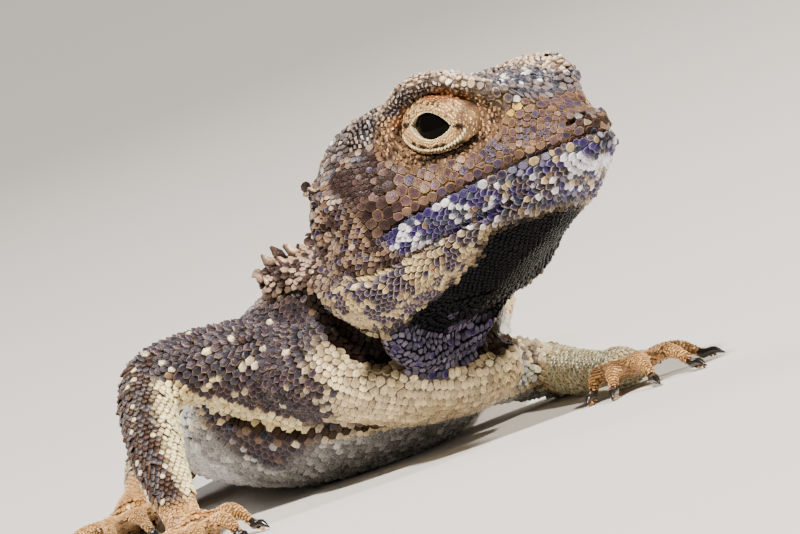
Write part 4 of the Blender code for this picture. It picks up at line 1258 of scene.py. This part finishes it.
def tintLids():
    # the lids' own scales: pale rim and comb, painted shade in the crease below the comb, pale specks under
    # it, and painted shade in the creases from the corners
    places = toHead(scalePoint)
    along, across = lidAxes(places)
    bend = np.abs(along)
    soft = waves(scalePoint, 1.2, 21)
    grains = scaleKind == kinds.index("grain")
    outside = grains & (lidShare(places) > 0.8 + 0.1 * soft) & (chance > 0.3)
    tints = (
        (grains, "lid"),
        (scaleKind == kinds.index("comb"), "lidRim"),
        (scaleKind == kinds.index("rim"), "lidRim"),
        # painted shade in the crease under the comb
        (grains & (across < -1.28 + 0.16 * bend) & (across > -1.62 + 0.2 * bend), "paintedCreaseShade"),
        (grains & (across > 0.2) & (0.5 * soft + 2 * chance - 1 > 0.55), "wrinkleDark"),
        (outside, "wrinkle"),
        (outside & (chance > 0.66), "wrinkleDark"),
        (grains & (across < -1.55 + 0.2 * bend) & (chance > 0.6), "templePale"),
        # painted shade in the creases from the corners
        (grains & (bend > 1.7) & (bend < 2.5) & (np.abs(across) < 0.13), "paintedCreaseShade"),
        (grains & (across + 0.2 * soft > 1.55), "orange"),
        (grains & (bend > 2.1) & (chance > 0.45), "wrinkle"),
    )
    for chosen, name in tints:
        middleTone[chosen], rimTone[chosen] = hide[name]


tintLids()
spread = hideSet["spread"]
middleTone *= (1 - spread / 2 + spread * rng.random(len(scalePoint)))[:, None]


unwrapSet = {"keep": 0.06, "angle": 66, "margin": 0.003, "patch": 0.0015}


def unwrapSkin():
    # a coarse copy of the skin laid flat, so that each scale's patch lies at its root's place
    mesh = skin.data.copy()
    obj = link("unwrapCopy", mesh)
    thin = obj.modifiers.new("thin", "DECIMATE")
    thin.ratio = unwrapSet["keep"]
    obj = applied(obj, "unwrapCopy")
    bpy.context.view_layer.objects.active = obj
    obj.select_set(True)
    bpy.ops.object.mode_set(mode="EDIT")
    bpy.ops.mesh.select_all(action="SELECT")
    bpy.ops.uv.smart_project(angle_limit=math.radians(unwrapSet["angle"]), island_margin=unwrapSet["margin"])
    bpy.ops.object.mode_set(mode="OBJECT")
    mesh = obj.data
    mesh.calc_loop_triangles()
    uv = np.zeros(len(mesh.loops) * 2, np.float32)
    mesh.uv_layers.active.data.foreach_get("uv", uv)
    uv = uv.reshape(-1, 2)
    points = readPoints(mesh)
    triangles = np.array([tri.vertices for tri in mesh.loop_triangles])
    loops = np.array([tri.loops for tri in mesh.loop_triangles])
    bpy.data.objects.remove(obj, do_unlink=True)
    tree = BVHTree.FromPolygons([tuple(point) for point in points], triangles.tolist())
    return tree, points, triangles, uv[loops]


def rootMap(roots):
    # where each root falls on the flat copy
    tree, points, triangles, corners = unwrapSkin()
    found = np.zeros((len(roots), 2))
    for i, root in enumerate(roots):
        hit, normal, face, far = tree.find_nearest(Vector(root))
        a, b, c = points[triangles[face]]
        v0, v1, v2 = b - a, c - a, np.array(hit) - a
        d00, d01, d11, d20, d21 = v0 @ v0, v0 @ v1, v1 @ v1, v2 @ v0, v2 @ v1
        lower = max(d00 * d11 - d01 * d01, 1e-12)
        v = (d11 * d20 - d01 * d21) / lower
        w = (d00 * d21 - d01 * d20) / lower
        found[i] = corners[face][0] * (1 - v - w) + corners[face][1] * v + corners[face][2] * w
    return found


scaleMap = rootMap(scalePoint)
print("stage: unwrap")


def scaleAxes():
    # the way each scale lies on the skin, and the way across it
    lie = scaleLie - (scaleLie * scaleNormal).sum(1)[:, None] * scaleNormal
    loose = np.linalg.norm(lie, axis=1) < 0.1
    lie[loose] = np.cross(scaleNormal[loose], [0.3, 0.5, 0.8])
    lie /= np.linalg.norm(lie, axis=1)[:, None]
    return lie, np.cross(scaleNormal, lie)


scaleRun, scaleAcross = scaleAxes()
cellSet = {"neighbours": 12, "widest": 0.84, "gap": 0.014}


def cellReach(sides):
    # how far each scale reaches towards its neighbours, in even directions round its root
    tree = treeOf(scalePoint)
    count = len(scalePoint)
    near = np.zeros((count, cellSet["neighbours"]), int)
    for i in range(count):
        found = tree.find_n(scalePoint[i], cellSet["neighbours"] + 1)
        near[i] = [j for place, j, far in found if j != i][:cellSet["neighbours"]]
    step = scalePoint[near] - scalePoint[:, None]
    far = np.linalg.norm(step, axis=2)
    alike = (scaleNormal[near] * scaleNormal[:, None]).sum(2) > 0.1
    along = (step * scaleRun[:, None]).sum(2)
    aside = (step * scaleAcross[:, None]).sum(2)
    share = scaleSize[:, None] / (scaleSize[:, None] + scaleSize[near])
    reach = np.full((count, sides), 1e9)
    for k in range(sides):
        angle = math.tau * k / sides
        flat = np.maximum(np.hypot(along, aside), 1e-6)
        lean = (along * math.cos(angle) + aside * math.sin(angle)) / flat
        limit = np.where((lean > 0.12) & alike, far * share / np.maximum(lean, 0.12), 1e9)
        reach[:, k] = limit.min(1)
    reach = np.minimum(reach, cellSet["widest"] * scaleSize[:, None])
    return np.maximum(reach - cellSet["gap"], 0.12 * scaleSize[:, None])


cells = {sides: cellReach(sides) for sides in formSides}
print("stage: cells")


# Shares of a scale's size, the heights of its rings as shares of its thickness, and the painted shade and
# light on its parts.
coatSet = {
    "shoulder": 0.96, "base": -0.8, "slim": {"spine": 0.42, "labial": 0.62}, "point": 0.3, "keelWide": 0.14,
    "lift": 0.45, "basePaintedShade": 0.3, "innerEdge": 0.1, "mostOver": 0.4, "frontPaintedShade": 1.9, "rearPaintedLight": 0.9,
}


def kindValues(chosen):
    return {key: np.array([formSet[kinds[k]][key] for k in scaleKind[chosen]]) for key in formSet["plate"]}


def shapeScales(chosen, sides):
    # the points of the chosen scales, each spread over its cell and leaned back along its lie
    ring, spoke = forms[sides]["ring"], forms[sides]["spoke"]
    values = kindValues(chosen)
    size = scaleSize[chosen]
    angle = math.tau * spoke / sides
    reach = cells[sides][chosen][:, spoke]
    for name, most in coatSet["slim"].items():
        slim = (scaleKind[chosen] == kinds.index(name))[:, None]
        reach = np.where(slim, np.minimum(reach, most * size[:, None]), reach)
    back = np.maximum(np.cos(angle), 0)[None]
    tail = np.exp(-(np.abs((angle + math.pi) % math.tau - math.pi) / coatSet["point"]) ** 2)[None]
    reach = reach * (1 + values["over"][:, None] * back ** 1.5 + values["point"][:, None] * tail)
    reach = reach * scaleLong[chosen][:, None] ** back
    share = np.array([1.0, coatSet["shoulder"], 1.0, 0.0])[ring][None]
    share = np.where(ring[None] == 2, 1 - values["inset"][:, None], share)
    x = reach * share * np.cos(angle)[None]
    y = reach * share * np.sin(angle)[None]
    thick = (values["thick"] * size * (0.85 + 0.3 * rng.random(len(chosen))))[:, None]
    high = np.array([coatSet["base"], 0.0, 1.0, 1.0])[ring][None]
    high = np.where(ring[None] == 1, values["bevel"][:, None], high) * thick
    high = high + (ring[None] == 3) * (values["dome"] * size)[:, None] * 0.4
    keel = np.exp(-(y / (coatSet["keelWide"] * size[:, None])) ** 2)
    high = high + (ring[None] >= 2) * (values["keel"] * size)[:, None] * 0.35 * keel
    tilt = np.radians(values["tilt"]) * (0.8 + 0.4 * rng.random(len(chosen)))
    sway = np.radians(values["jitter"]) * rng.normal(0, 1, len(chosen))
    tilt = tilt + np.radians(values["jitter"]) * rng.normal(0, 0.6, len(chosen))
    normal, run, across = scaleNormal[chosen], scaleRun[chosen], scaleAcross[chosen]
    leanRun = run * np.cos(tilt)[:, None] + normal * np.sin(tilt)[:, None]
    rise = normal * np.cos(tilt)[:, None] - run * np.sin(tilt)[:, None]
    leanAcross = across * np.cos(sway)[:, None] + rise * np.sin(sway)[:, None]
    rise = np.cross(leanRun, leanAcross)
    root = scalePoint[chosen] + normal * (np.sin(np.abs(tilt)) * size * coatSet["lift"])[:, None]
    parts = zip((leanRun, leanAcross, rise), (x, y, high))
    return root[:, None] + sum(direction[:, None] * far[..., None] for direction, far in parts)


def shadeScales(chosen, sides):
    # the tone at each point: edge colour on the rim, painted shade on the base's sides and on the front
    # under the scale before it, painted light on the rear edge
    ring = forms[sides]["ring"]
    angle = math.tau * forms[sides]["spoke"] / sides
    weight = np.array([1.0, 1.0, coatSet["innerEdge"], 0.0])[ring][None, :, None]
    tones = middleTone[chosen][:, None] * (1 - weight) + rimTone[chosen][:, None] * weight
    # painted shade on the sides of each scale's base
    tones = tones * np.where(ring == 0, coatSet["basePaintedShade"], 1.0)[None, :, None]
    # painted shade on the front of each overlapping scale, painted light on its rear edge
    facing = np.where(ring == 3, 0, np.cos(angle))[None]
    over = np.minimum(kindValues(chosen)["over"][:, None], coatSet["mostOver"])
    paintedShadeAndLight = 1 + over * np.where(facing < 0, coatSet["frontPaintedShade"], coatSet["rearPaintedLight"]) * facing
    return np.clip(tones * paintedShadeAndLight[..., None], 0.001, 0.95)


def addTone(mesh, tones):
    # the colours that the finishes read
    colour = mesh.attributes.new("tone", "FLOAT_COLOR", "POINT")
    filled = np.concatenate([tones, np.ones((len(tones), 1))], axis=1)
    colour.data.foreach_set("color", filled.astype(np.float32).ravel())


def coatPiece(name, chosen, sides, material):
    # joins the chosen scales in one mesh
    form = forms[sides]
    points = (shapeScales(chosen, sides).reshape(-1, 3) + shift) / 1000
    corners = np.array([vert for face in form["faces"] for vert in face])
    totals = np.tile([len(face) for face in form["faces"]], len(chosen))
    loops = (corners[None] + (np.arange(len(chosen)) * len(form["ring"]))[:, None]).ravel()
    starts = np.concatenate([[0], np.cumsum(totals)[:-1]])
    patch = scaleMap[chosen][:, None] + form["flat"][None, corners] * unwrapSet["patch"]
    mesh = bpy.data.meshes.new(name)
    mesh.vertices.add(len(points))
    mesh.vertices.foreach_set("co", points.astype(np.float32).ravel())
    mesh.loops.add(len(loops))
    mesh.loops.foreach_set("vertex_index", loops.astype(np.int32))
    mesh.polygons.add(len(totals))
    mesh.polygons.foreach_set("loop_start", starts.astype(np.int32))
    mesh.polygons.foreach_set("loop_total", totals.astype(np.int32))
    mesh.update(calc_edges=True)
    layer = mesh.uv_layers.new(name="OFBake")
    layer.data.foreach_set("uv", patch.astype(np.float32).ravel())
    addTone(mesh, shadeScales(chosen, sides).reshape(-1, 3))
    smooth = scaleKind[chosen] != kinds.index("crag")
    mesh.polygons.foreach_set("use_smooth", (form["top"][None] & smooth[:, None]).ravel())
    mesh.materials.append(material)
    piece = link(name, mesh)
    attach(piece, "root")
    print("   ", name, "scales", len(chosen), "triangles", int((totals - 2).sum()))
    return piece


# Scale and detail of both noises, then for each mapped value: from low, from high, to low, to high.
grainSet = {
    "fine": (9000, 3), "slow": (1700, 2), "shade": (0.65, 1.35, 0.45, 1.55),
    "roughness": (0.3, 0.7, 0.2, 0.38), "shine": (0.002, 0.4, 0.05, 0.95), "bump": 0.00007,
}


def noiseNode(nodes, links, place, numbers):
    noise = nodes.new("ShaderNodeTexNoise")
    for label, number in zip(("Scale", "Detail"), numbers):
        noise.inputs[label].default_value = number
    links.new(place, noise.inputs["Vector"])
    return noise.outputs["Fac"]


def mapNode(nodes, links, value, numbers):
    node = nodes.new("ShaderNodeMapRange")
    for label, number in zip(("From Min", "From Max", "To Min", "To Max"), numbers):
        node.inputs[label].default_value = number
    links.new(value, node.inputs["Value"])
    return node.outputs["Result"]


def mathNode(nodes, links, operation, first, second):
    node = nodes.new("ShaderNodeMath")
    node.operation = operation
    links.new(first, node.inputs[0])
    links.new(second, node.inputs[1])
    return node.outputs[0]


def grainGroup():
    # slow and fine changes over the hide; a pale scale shines more than a dark one
    group = bpy.data.node_groups.new("hideGrain", "ShaderNodeTree")
    sockets = {"INPUT": ("Tone", "Fleck", "Gloss"), "OUTPUT": ("Color", "Roughness", "Shine", "Height")}
    for way, labels in sockets.items():
        for label in labels:
            kind = "NodeSocketColor" if label in ("Tone", "Color") else "NodeSocketFloat"
            group.interface.new_socket(label, in_out=way, socket_type=kind)
    nodes, links = group.nodes, group.links
    enter = nodes.new("NodeGroupInput").outputs
    leave = nodes.new("NodeGroupOutput").inputs
    place = nodes.new("ShaderNodeTexCoord").outputs["Object"]
    fineNoise = noiseNode(nodes, links, place, grainSet["fine"])
    slowNoise = noiseNode(nodes, links, place, grainSet["slow"])
    both = mathNode(nodes, links, "ADD", fineNoise, slowNoise)
    shaded = nodes.new("ShaderNodeVectorMath")
    shaded.operation = "SCALE"
    links.new(enter["Tone"], shaded.inputs[0])
    links.new(mapNode(nodes, links, both, grainSet["shade"]), shaded.inputs["Scale"])
    mix = nodes.new("ShaderNodeMix")
    mix.data_type = "RGBA"
    links.new(enter["Fleck"], mix.inputs["Factor"])
    links.new(enter["Tone"], mix.inputs["A"])
    links.new(shaded.outputs["Vector"], mix.inputs["B"])
    links.new(mix.outputs["Result"], leave["Color"])
    rough = mapNode(nodes, links, fineNoise, grainSet["roughness"])
    links.new(mathNode(nodes, links, "SUBTRACT", rough, enter["Gloss"]), leave["Roughness"])
    links.new(mapNode(nodes, links, enter["Tone"], grainSet["shine"]), leave["Shine"])
    links.new(both, leave["Height"])
    return group


hideGrain = grainGroup()


def hideFinish(name, fleck, gloss, bump):
    material = bpy.data.materials.new(name)
    material.use_nodes = True
    nodes, links = material.node_tree.nodes, material.node_tree.links
    shader = nodes["Principled BSDF"]
    tone = nodes.new("ShaderNodeAttribute")
    tone.attribute_name = "tone"
    grain = nodes.new("ShaderNodeGroup")
    grain.node_tree = hideGrain
    grain.inputs["Fleck"].default_value = fleck
    grain.inputs["Gloss"].default_value = gloss
    links.new(tone.outputs["Color"], grain.inputs["Tone"])
    links.new(grain.outputs["Color"], shader.inputs["Base Color"])
    links.new(grain.outputs["Roughness"], shader.inputs["Roughness"])
    links.new(grain.outputs["Shine"], shader.inputs["Specular IOR Level"])
    raised = nodes.new("ShaderNodeBump")
    raised.inputs["Strength"].default_value = bump
    raised.inputs["Distance"].default_value = grainSet["bump"]
    links.new(grain.outputs["Height"], raised.inputs["Height"])
    links.new(raised.outputs["Normal"], shader.inputs["Normal"])
    return material


def plainFinish(name, colour, roughness, coat=0.0):
    material = bpy.data.materials.new(name)
    material.use_nodes = True
    shader = material.node_tree.nodes["Principled BSDF"]
    shader.inputs["Base Color"].default_value = tuple(colour) + (1,)
    shader.inputs["Roughness"].default_value = roughness
    shader.inputs["Coat Weight"].default_value = coat
    shader.inputs["Coat Roughness"].default_value = 0.03
    return material


skinFinish = hideFinish("skinBetweenScales", 0.6, -0.4, 0.3)
coatFinish = hideFinish("scaleHorn", 0.9, 0.0, 0.5)


# How much of the nearest scales' edge colour the bare skin keeps; the rest is painted shade in the gaps, and
# pit is the painted shade added in the pits.
gapShadeSet = {"skin": 0.2, "nearLids": 0.5, "lids": 0.5, "pit": 0.85}


def finishHide(obj, points, pits, gap):
    # skin takes the rim colour of the nearest scales, with painted shade: darker in the gaps and darkest in
    # the pits
    tree = treeOf(scalePoint)
    tone = np.zeros((len(points), 3))
    for i, point in enumerate(points):
        near = tree.find_n(point, 3)
        tone[i] = sum(rimTone[j] for place, j, far in near) / len(near)
    mesh = obj.data
    # painted shade: darker in the gaps between scales, darkest in the pits
    addTone(mesh, tone * (gap * (1 - gapShadeSet["pit"] * pits))[:, None])
    writePoints(mesh, (points + shift) / 1000)
    mesh.polygons.foreach_set("use_smooth", np.ones(len(mesh.polygons), bool))
    mesh.materials.clear()
    mesh.materials.append(skinFinish)
    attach(obj, "root")


def finishSkin(obj):
    # thins the skin, now that the scales are laid on it, and carries the painted shade of its pits over
    places = treeOf(skinPoints)
    thin = obj.modifiers.new("thin", "DECIMATE")
    thin.ratio = skinSet["keep"]
    obj = applied(obj, "skin")
    points = readPoints(obj.data)
    pits = skinPitShade[[places.find(point)[1] for point in points]]
    nearLids = lidShare(toHead(points)) < 1.5
    finishHide(obj, points, pits, np.where(nearLids, gapShadeSet["nearLids"], gapShadeSet["skin"]))
    return obj


skin = finishSkin(skin)
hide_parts(*flesh)
lidPoints = readPoints(lids.data)
# painted shade in the lids' crease and between their scales
finishHide(lids, lidPoints, lidCreaseShadeShare(lidPoints), np.full(len(lidPoints), gapShadeSet["lids"]))

# The coat's pieces: which scales, the sides of each scale's form and the slot.
pieceTriangles = 180000
inHeadCoat = scaleAxis == 0
inFront = (scaleAxis == 1) & (scalePoint[:, 1] < 34)
coatGroups = (
    ("headPlates", inHeadCoat & (scaleSize > 0.5), 12, "skin_head"),
    ("headScales", inHeadCoat & (scaleSize <= 0.5) & (scaleSize > 0.32), 8, "skin_head"),
    ("headGrains", inHeadCoat & (scaleSize <= 0.32), 6, "skin_head"),
    ("scalesFront", inFront, 8, "skin_body"),
    ("scalesRear", (scaleAxis == 1) & ~inFront, 6, "skin_body"),
    ("scalesLimbs", (scaleAxis >= 2) & (scaleAxis <= 5), 8, "skin_limbs"),
    ("scalesDigits", scaleAxis == 6, 6, "skin_limbs"),
)
for name, inGroup, sides, slotName in coatGroups:
    chosen = np.where(inGroup)[0]
    perPiece = pieceTriangles // (6 * sides - 2)
    for part in range(0, len(chosen), perPiece):
        piece = coatPiece(name + str(part // perPiece + 1), chosen[part:part + perPiece], sides, coatFinish)
print("stage: coat")


eyeFinish = plainFinish("wetEye", eyeSet["colour"], eyeSet["roughness"])
eyeShader = eyeFinish.node_tree.nodes["Principled BSDF"]
eyeShader.inputs["Specular IOR Level"].default_value = eyeSet["specular"]


def makeEyes():
    for side, out in (("right", -1), ("left", 1)):
        form = bmesh.new()
        bmesh.ops.create_uvsphere(form, u_segments=64, v_segments=32, radius=eyeSet["radius"])
        centre = fromHead((eyeSet["back"], out * eyeSet["out"], eyeSet["up"]))
        bmesh.ops.translate(form, vec=Vector(centre), verts=form.verts)
        toRow(form)
        eye = finished(form, "eyeball" + side.title(), eyeFinish)
        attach(eye, "root")
        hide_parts("eye_" + side)


makeEyes()
clawSet = {
    "length": 1.5, "thick": 0.34, "arch": 0.2, "tipHigh": 0.16, "rootIn": 0.5,
    "widths": (0.8, 1.0, 0.72, 0.12), "steps": 10, "sides": 10,
    "colour": (0.012, 0.009, 0.008), "roughness": 0.22, "coat": 0.4,
}
clawFinish = plainFinish("clawHorn", clawSet["colour"], clawSet["roughness"], clawSet["coat"])


def growClaw(form, knuckle, end):
    # one curved claw, drawn out in steps from a disc at the digit's end to its point on the ground
    reach = (end - knuckle).normalized()
    tip = end + reach * clawSet["length"]
    tip.z = clawSet["tipHigh"]
    middle = end.lerp(tip, 0.5) + Vector((0, 0, clawSet["arch"]))
    places = (end - reach * clawSet["rootIn"], end, middle, tip)
    rows = [tuple(place) + (wide,) for place, wide in zip(places, clawSet["widths"])]
    path = curve(rows, clawSet["steps"])
    turn = Vector((0, 0, 1)).rotation_difference(reach).to_matrix()
    thick = clawSet["widths"][0]
    radius = clawSet["thick"] * thick
    disc = bmesh.ops.create_circle(form, cap_ends=True, segments=clawSet["sides"], radius=radius)["verts"]
    bmesh.ops.rotate(form, verts=disc, cent=(0, 0, 0), matrix=turn)
    bmesh.ops.translate(form, vec=path[0][:3], verts=disc)
    face = disc[0].link_faces[0]
    centre = Vector(path[0][:3])
    for row in path[1:]:
        face = bmesh.ops.extrude_discrete_faces(form, faces=[face])["faces"][0]
        place = Vector(row[:3])
        bmesh.ops.translate(form, vec=place - centre, verts=face.verts)
        bmesh.ops.scale(form, vec=(row[3] / thick,) * 3, space=Matrix.Translation(-place), verts=face.verts)
        centre, thick = place, row[3]


def makeClaws():
    form = bmesh.new()
    for group in digits.values():
        for start, knuckle, end in group:
            growClaw(form, Vector(knuckle), Vector(end))
    bmesh.ops.remove_doubles(form, verts=form.verts, dist=1e-5)
    bmesh.ops.recalc_face_normals(form, faces=form.faces)
    toRow(form)
    claws = finished(form, "claws", clawFinish)
    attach(claws, "root")


makeClaws()
print("stage: eyes and claws")

floorSet = {
    "colour": (0.62, 0.60, 0.57), "roughness": 0.9, "wide": 4.0, "deep": 3.0, "flatTo": 0.9, "bend": 0.7,
}


def makeFloor():
    # a floor that curves up behind the animal, seen through from its back
    form = bmesh.new()
    bmesh.ops.create_grid(form, x_segments=2, y_segments=40, size=1)
    radius = floorSet["bend"]
    for vert in form.verts:
        y = vert.co.y * floorSet["deep"]
        past = max(y - floorSet["flatTo"], 0.0)
        bend = min(past / radius, math.pi / 2)
        high = radius * (1 - math.cos(bend)) + max(past - radius * math.pi / 2, 0)
        vert.co = (vert.co.x * floorSet["wide"], min(y, floorSet["flatTo"]) + radius * math.sin(bend), high)
    paint = plainFinish("studioFloorPaint", floorSet["colour"], floorSet["roughness"])
    nodes, links = paint.node_tree.nodes, paint.node_tree.links
    front = nodes.new("ShaderNodeMath")
    front.operation = "SUBTRACT"
    front.inputs[0].default_value = 1
    links.new(nodes.new("ShaderNodeNewGeometry").outputs["Backfacing"], front.inputs[1])
    links.new(front.outputs[0], nodes["Principled BSDF"].inputs["Alpha"])
    finished(form, "studioFloor", paint)


makeFloor()
lampSet = {
    "key": {"from": (-0.12, -0.6, 1.0), "size": 0.08, "power": 34.0, "colour": (1.0, 0.955, 0.89)},
    "fill": {"from": (0.75, -0.8, 0.35), "size": 0.8, "power": 1.2, "colour": (0.88, 0.93, 1.0)},
    "side": {"from": (0.9, -0.4, 0.95), "size": 0.12, "power": 25.0, "colour": (1.0, 0.91, 0.78)},
    "rim": {"from": (-0.5, 0.7, 0.6), "size": 0.4, "power": 4.0, "colour": (1.0, 0.97, 0.94)},
}
worldSet = {"colour": (0.82, 0.84, 0.88), "strength": 0.11}
cameraSet = {
    "aim": (0, 0, 12.6), "elevation": 3.0, "roll": 20.0, "distance": 0.55, "wide": 0.0496, "sensor": 36.0,
}
lookAt = (Vector(cameraSet["aim"]) + Vector(shift)) / 1000


def makeLights():
    for name, values in lampSet.items():
        lamp = bpy.data.lights.new(name, "AREA")
        lamp.size = values["size"]
        lamp.energy = values["power"]
        lamp.color = values["colour"]
        obj = link(name, lamp)
        obj.location = lookAt + Vector(values["from"])
        obj.rotation_euler = (-Vector(values["from"])).to_track_quat("-Z", "Y").to_euler()
    world = bpy.data.worlds.new("studio")
    world.use_nodes = True
    background = world.node_tree.nodes["Background"]
    background.inputs["Color"].default_value = worldSet["colour"] + (1,)
    background.inputs["Strength"].default_value = worldSet["strength"]
    bpy.context.scene.world = world


def makeCamera():
    # a long lens close to the floor, rolled so that the animal leans as on its slope
    lens = bpy.data.cameras.new("camera")
    lens.sensor_width = cameraSet["sensor"]
    lens.lens = cameraSet["sensor"] * cameraSet["distance"] / cameraSet["wide"]
    lens.clip_start = 0.01
    lens.clip_end = 20
    obj = link("camera", lens)
    tall = math.radians(cameraSet["elevation"])
    roll = math.radians(cameraSet["roll"])
    back = Vector((0, -math.cos(tall), math.sin(tall)))
    right = (-back).cross(Vector((0, 0, 1))).normalized()
    up = right.cross(-back)
    turnedRight = right * math.cos(roll) - up * math.sin(roll)
    turnedUp = right * math.sin(roll) + up * math.cos(roll)
    turn = Matrix((turnedRight, turnedUp, back)).transposed().to_4x4()
    obj.matrix_world = Matrix.Translation(lookAt + back * cameraSet["distance"]) @ turn
    bpy.context.scene.camera = obj


makeLights()
makeCamera()
print("stage: floor, light and camera")
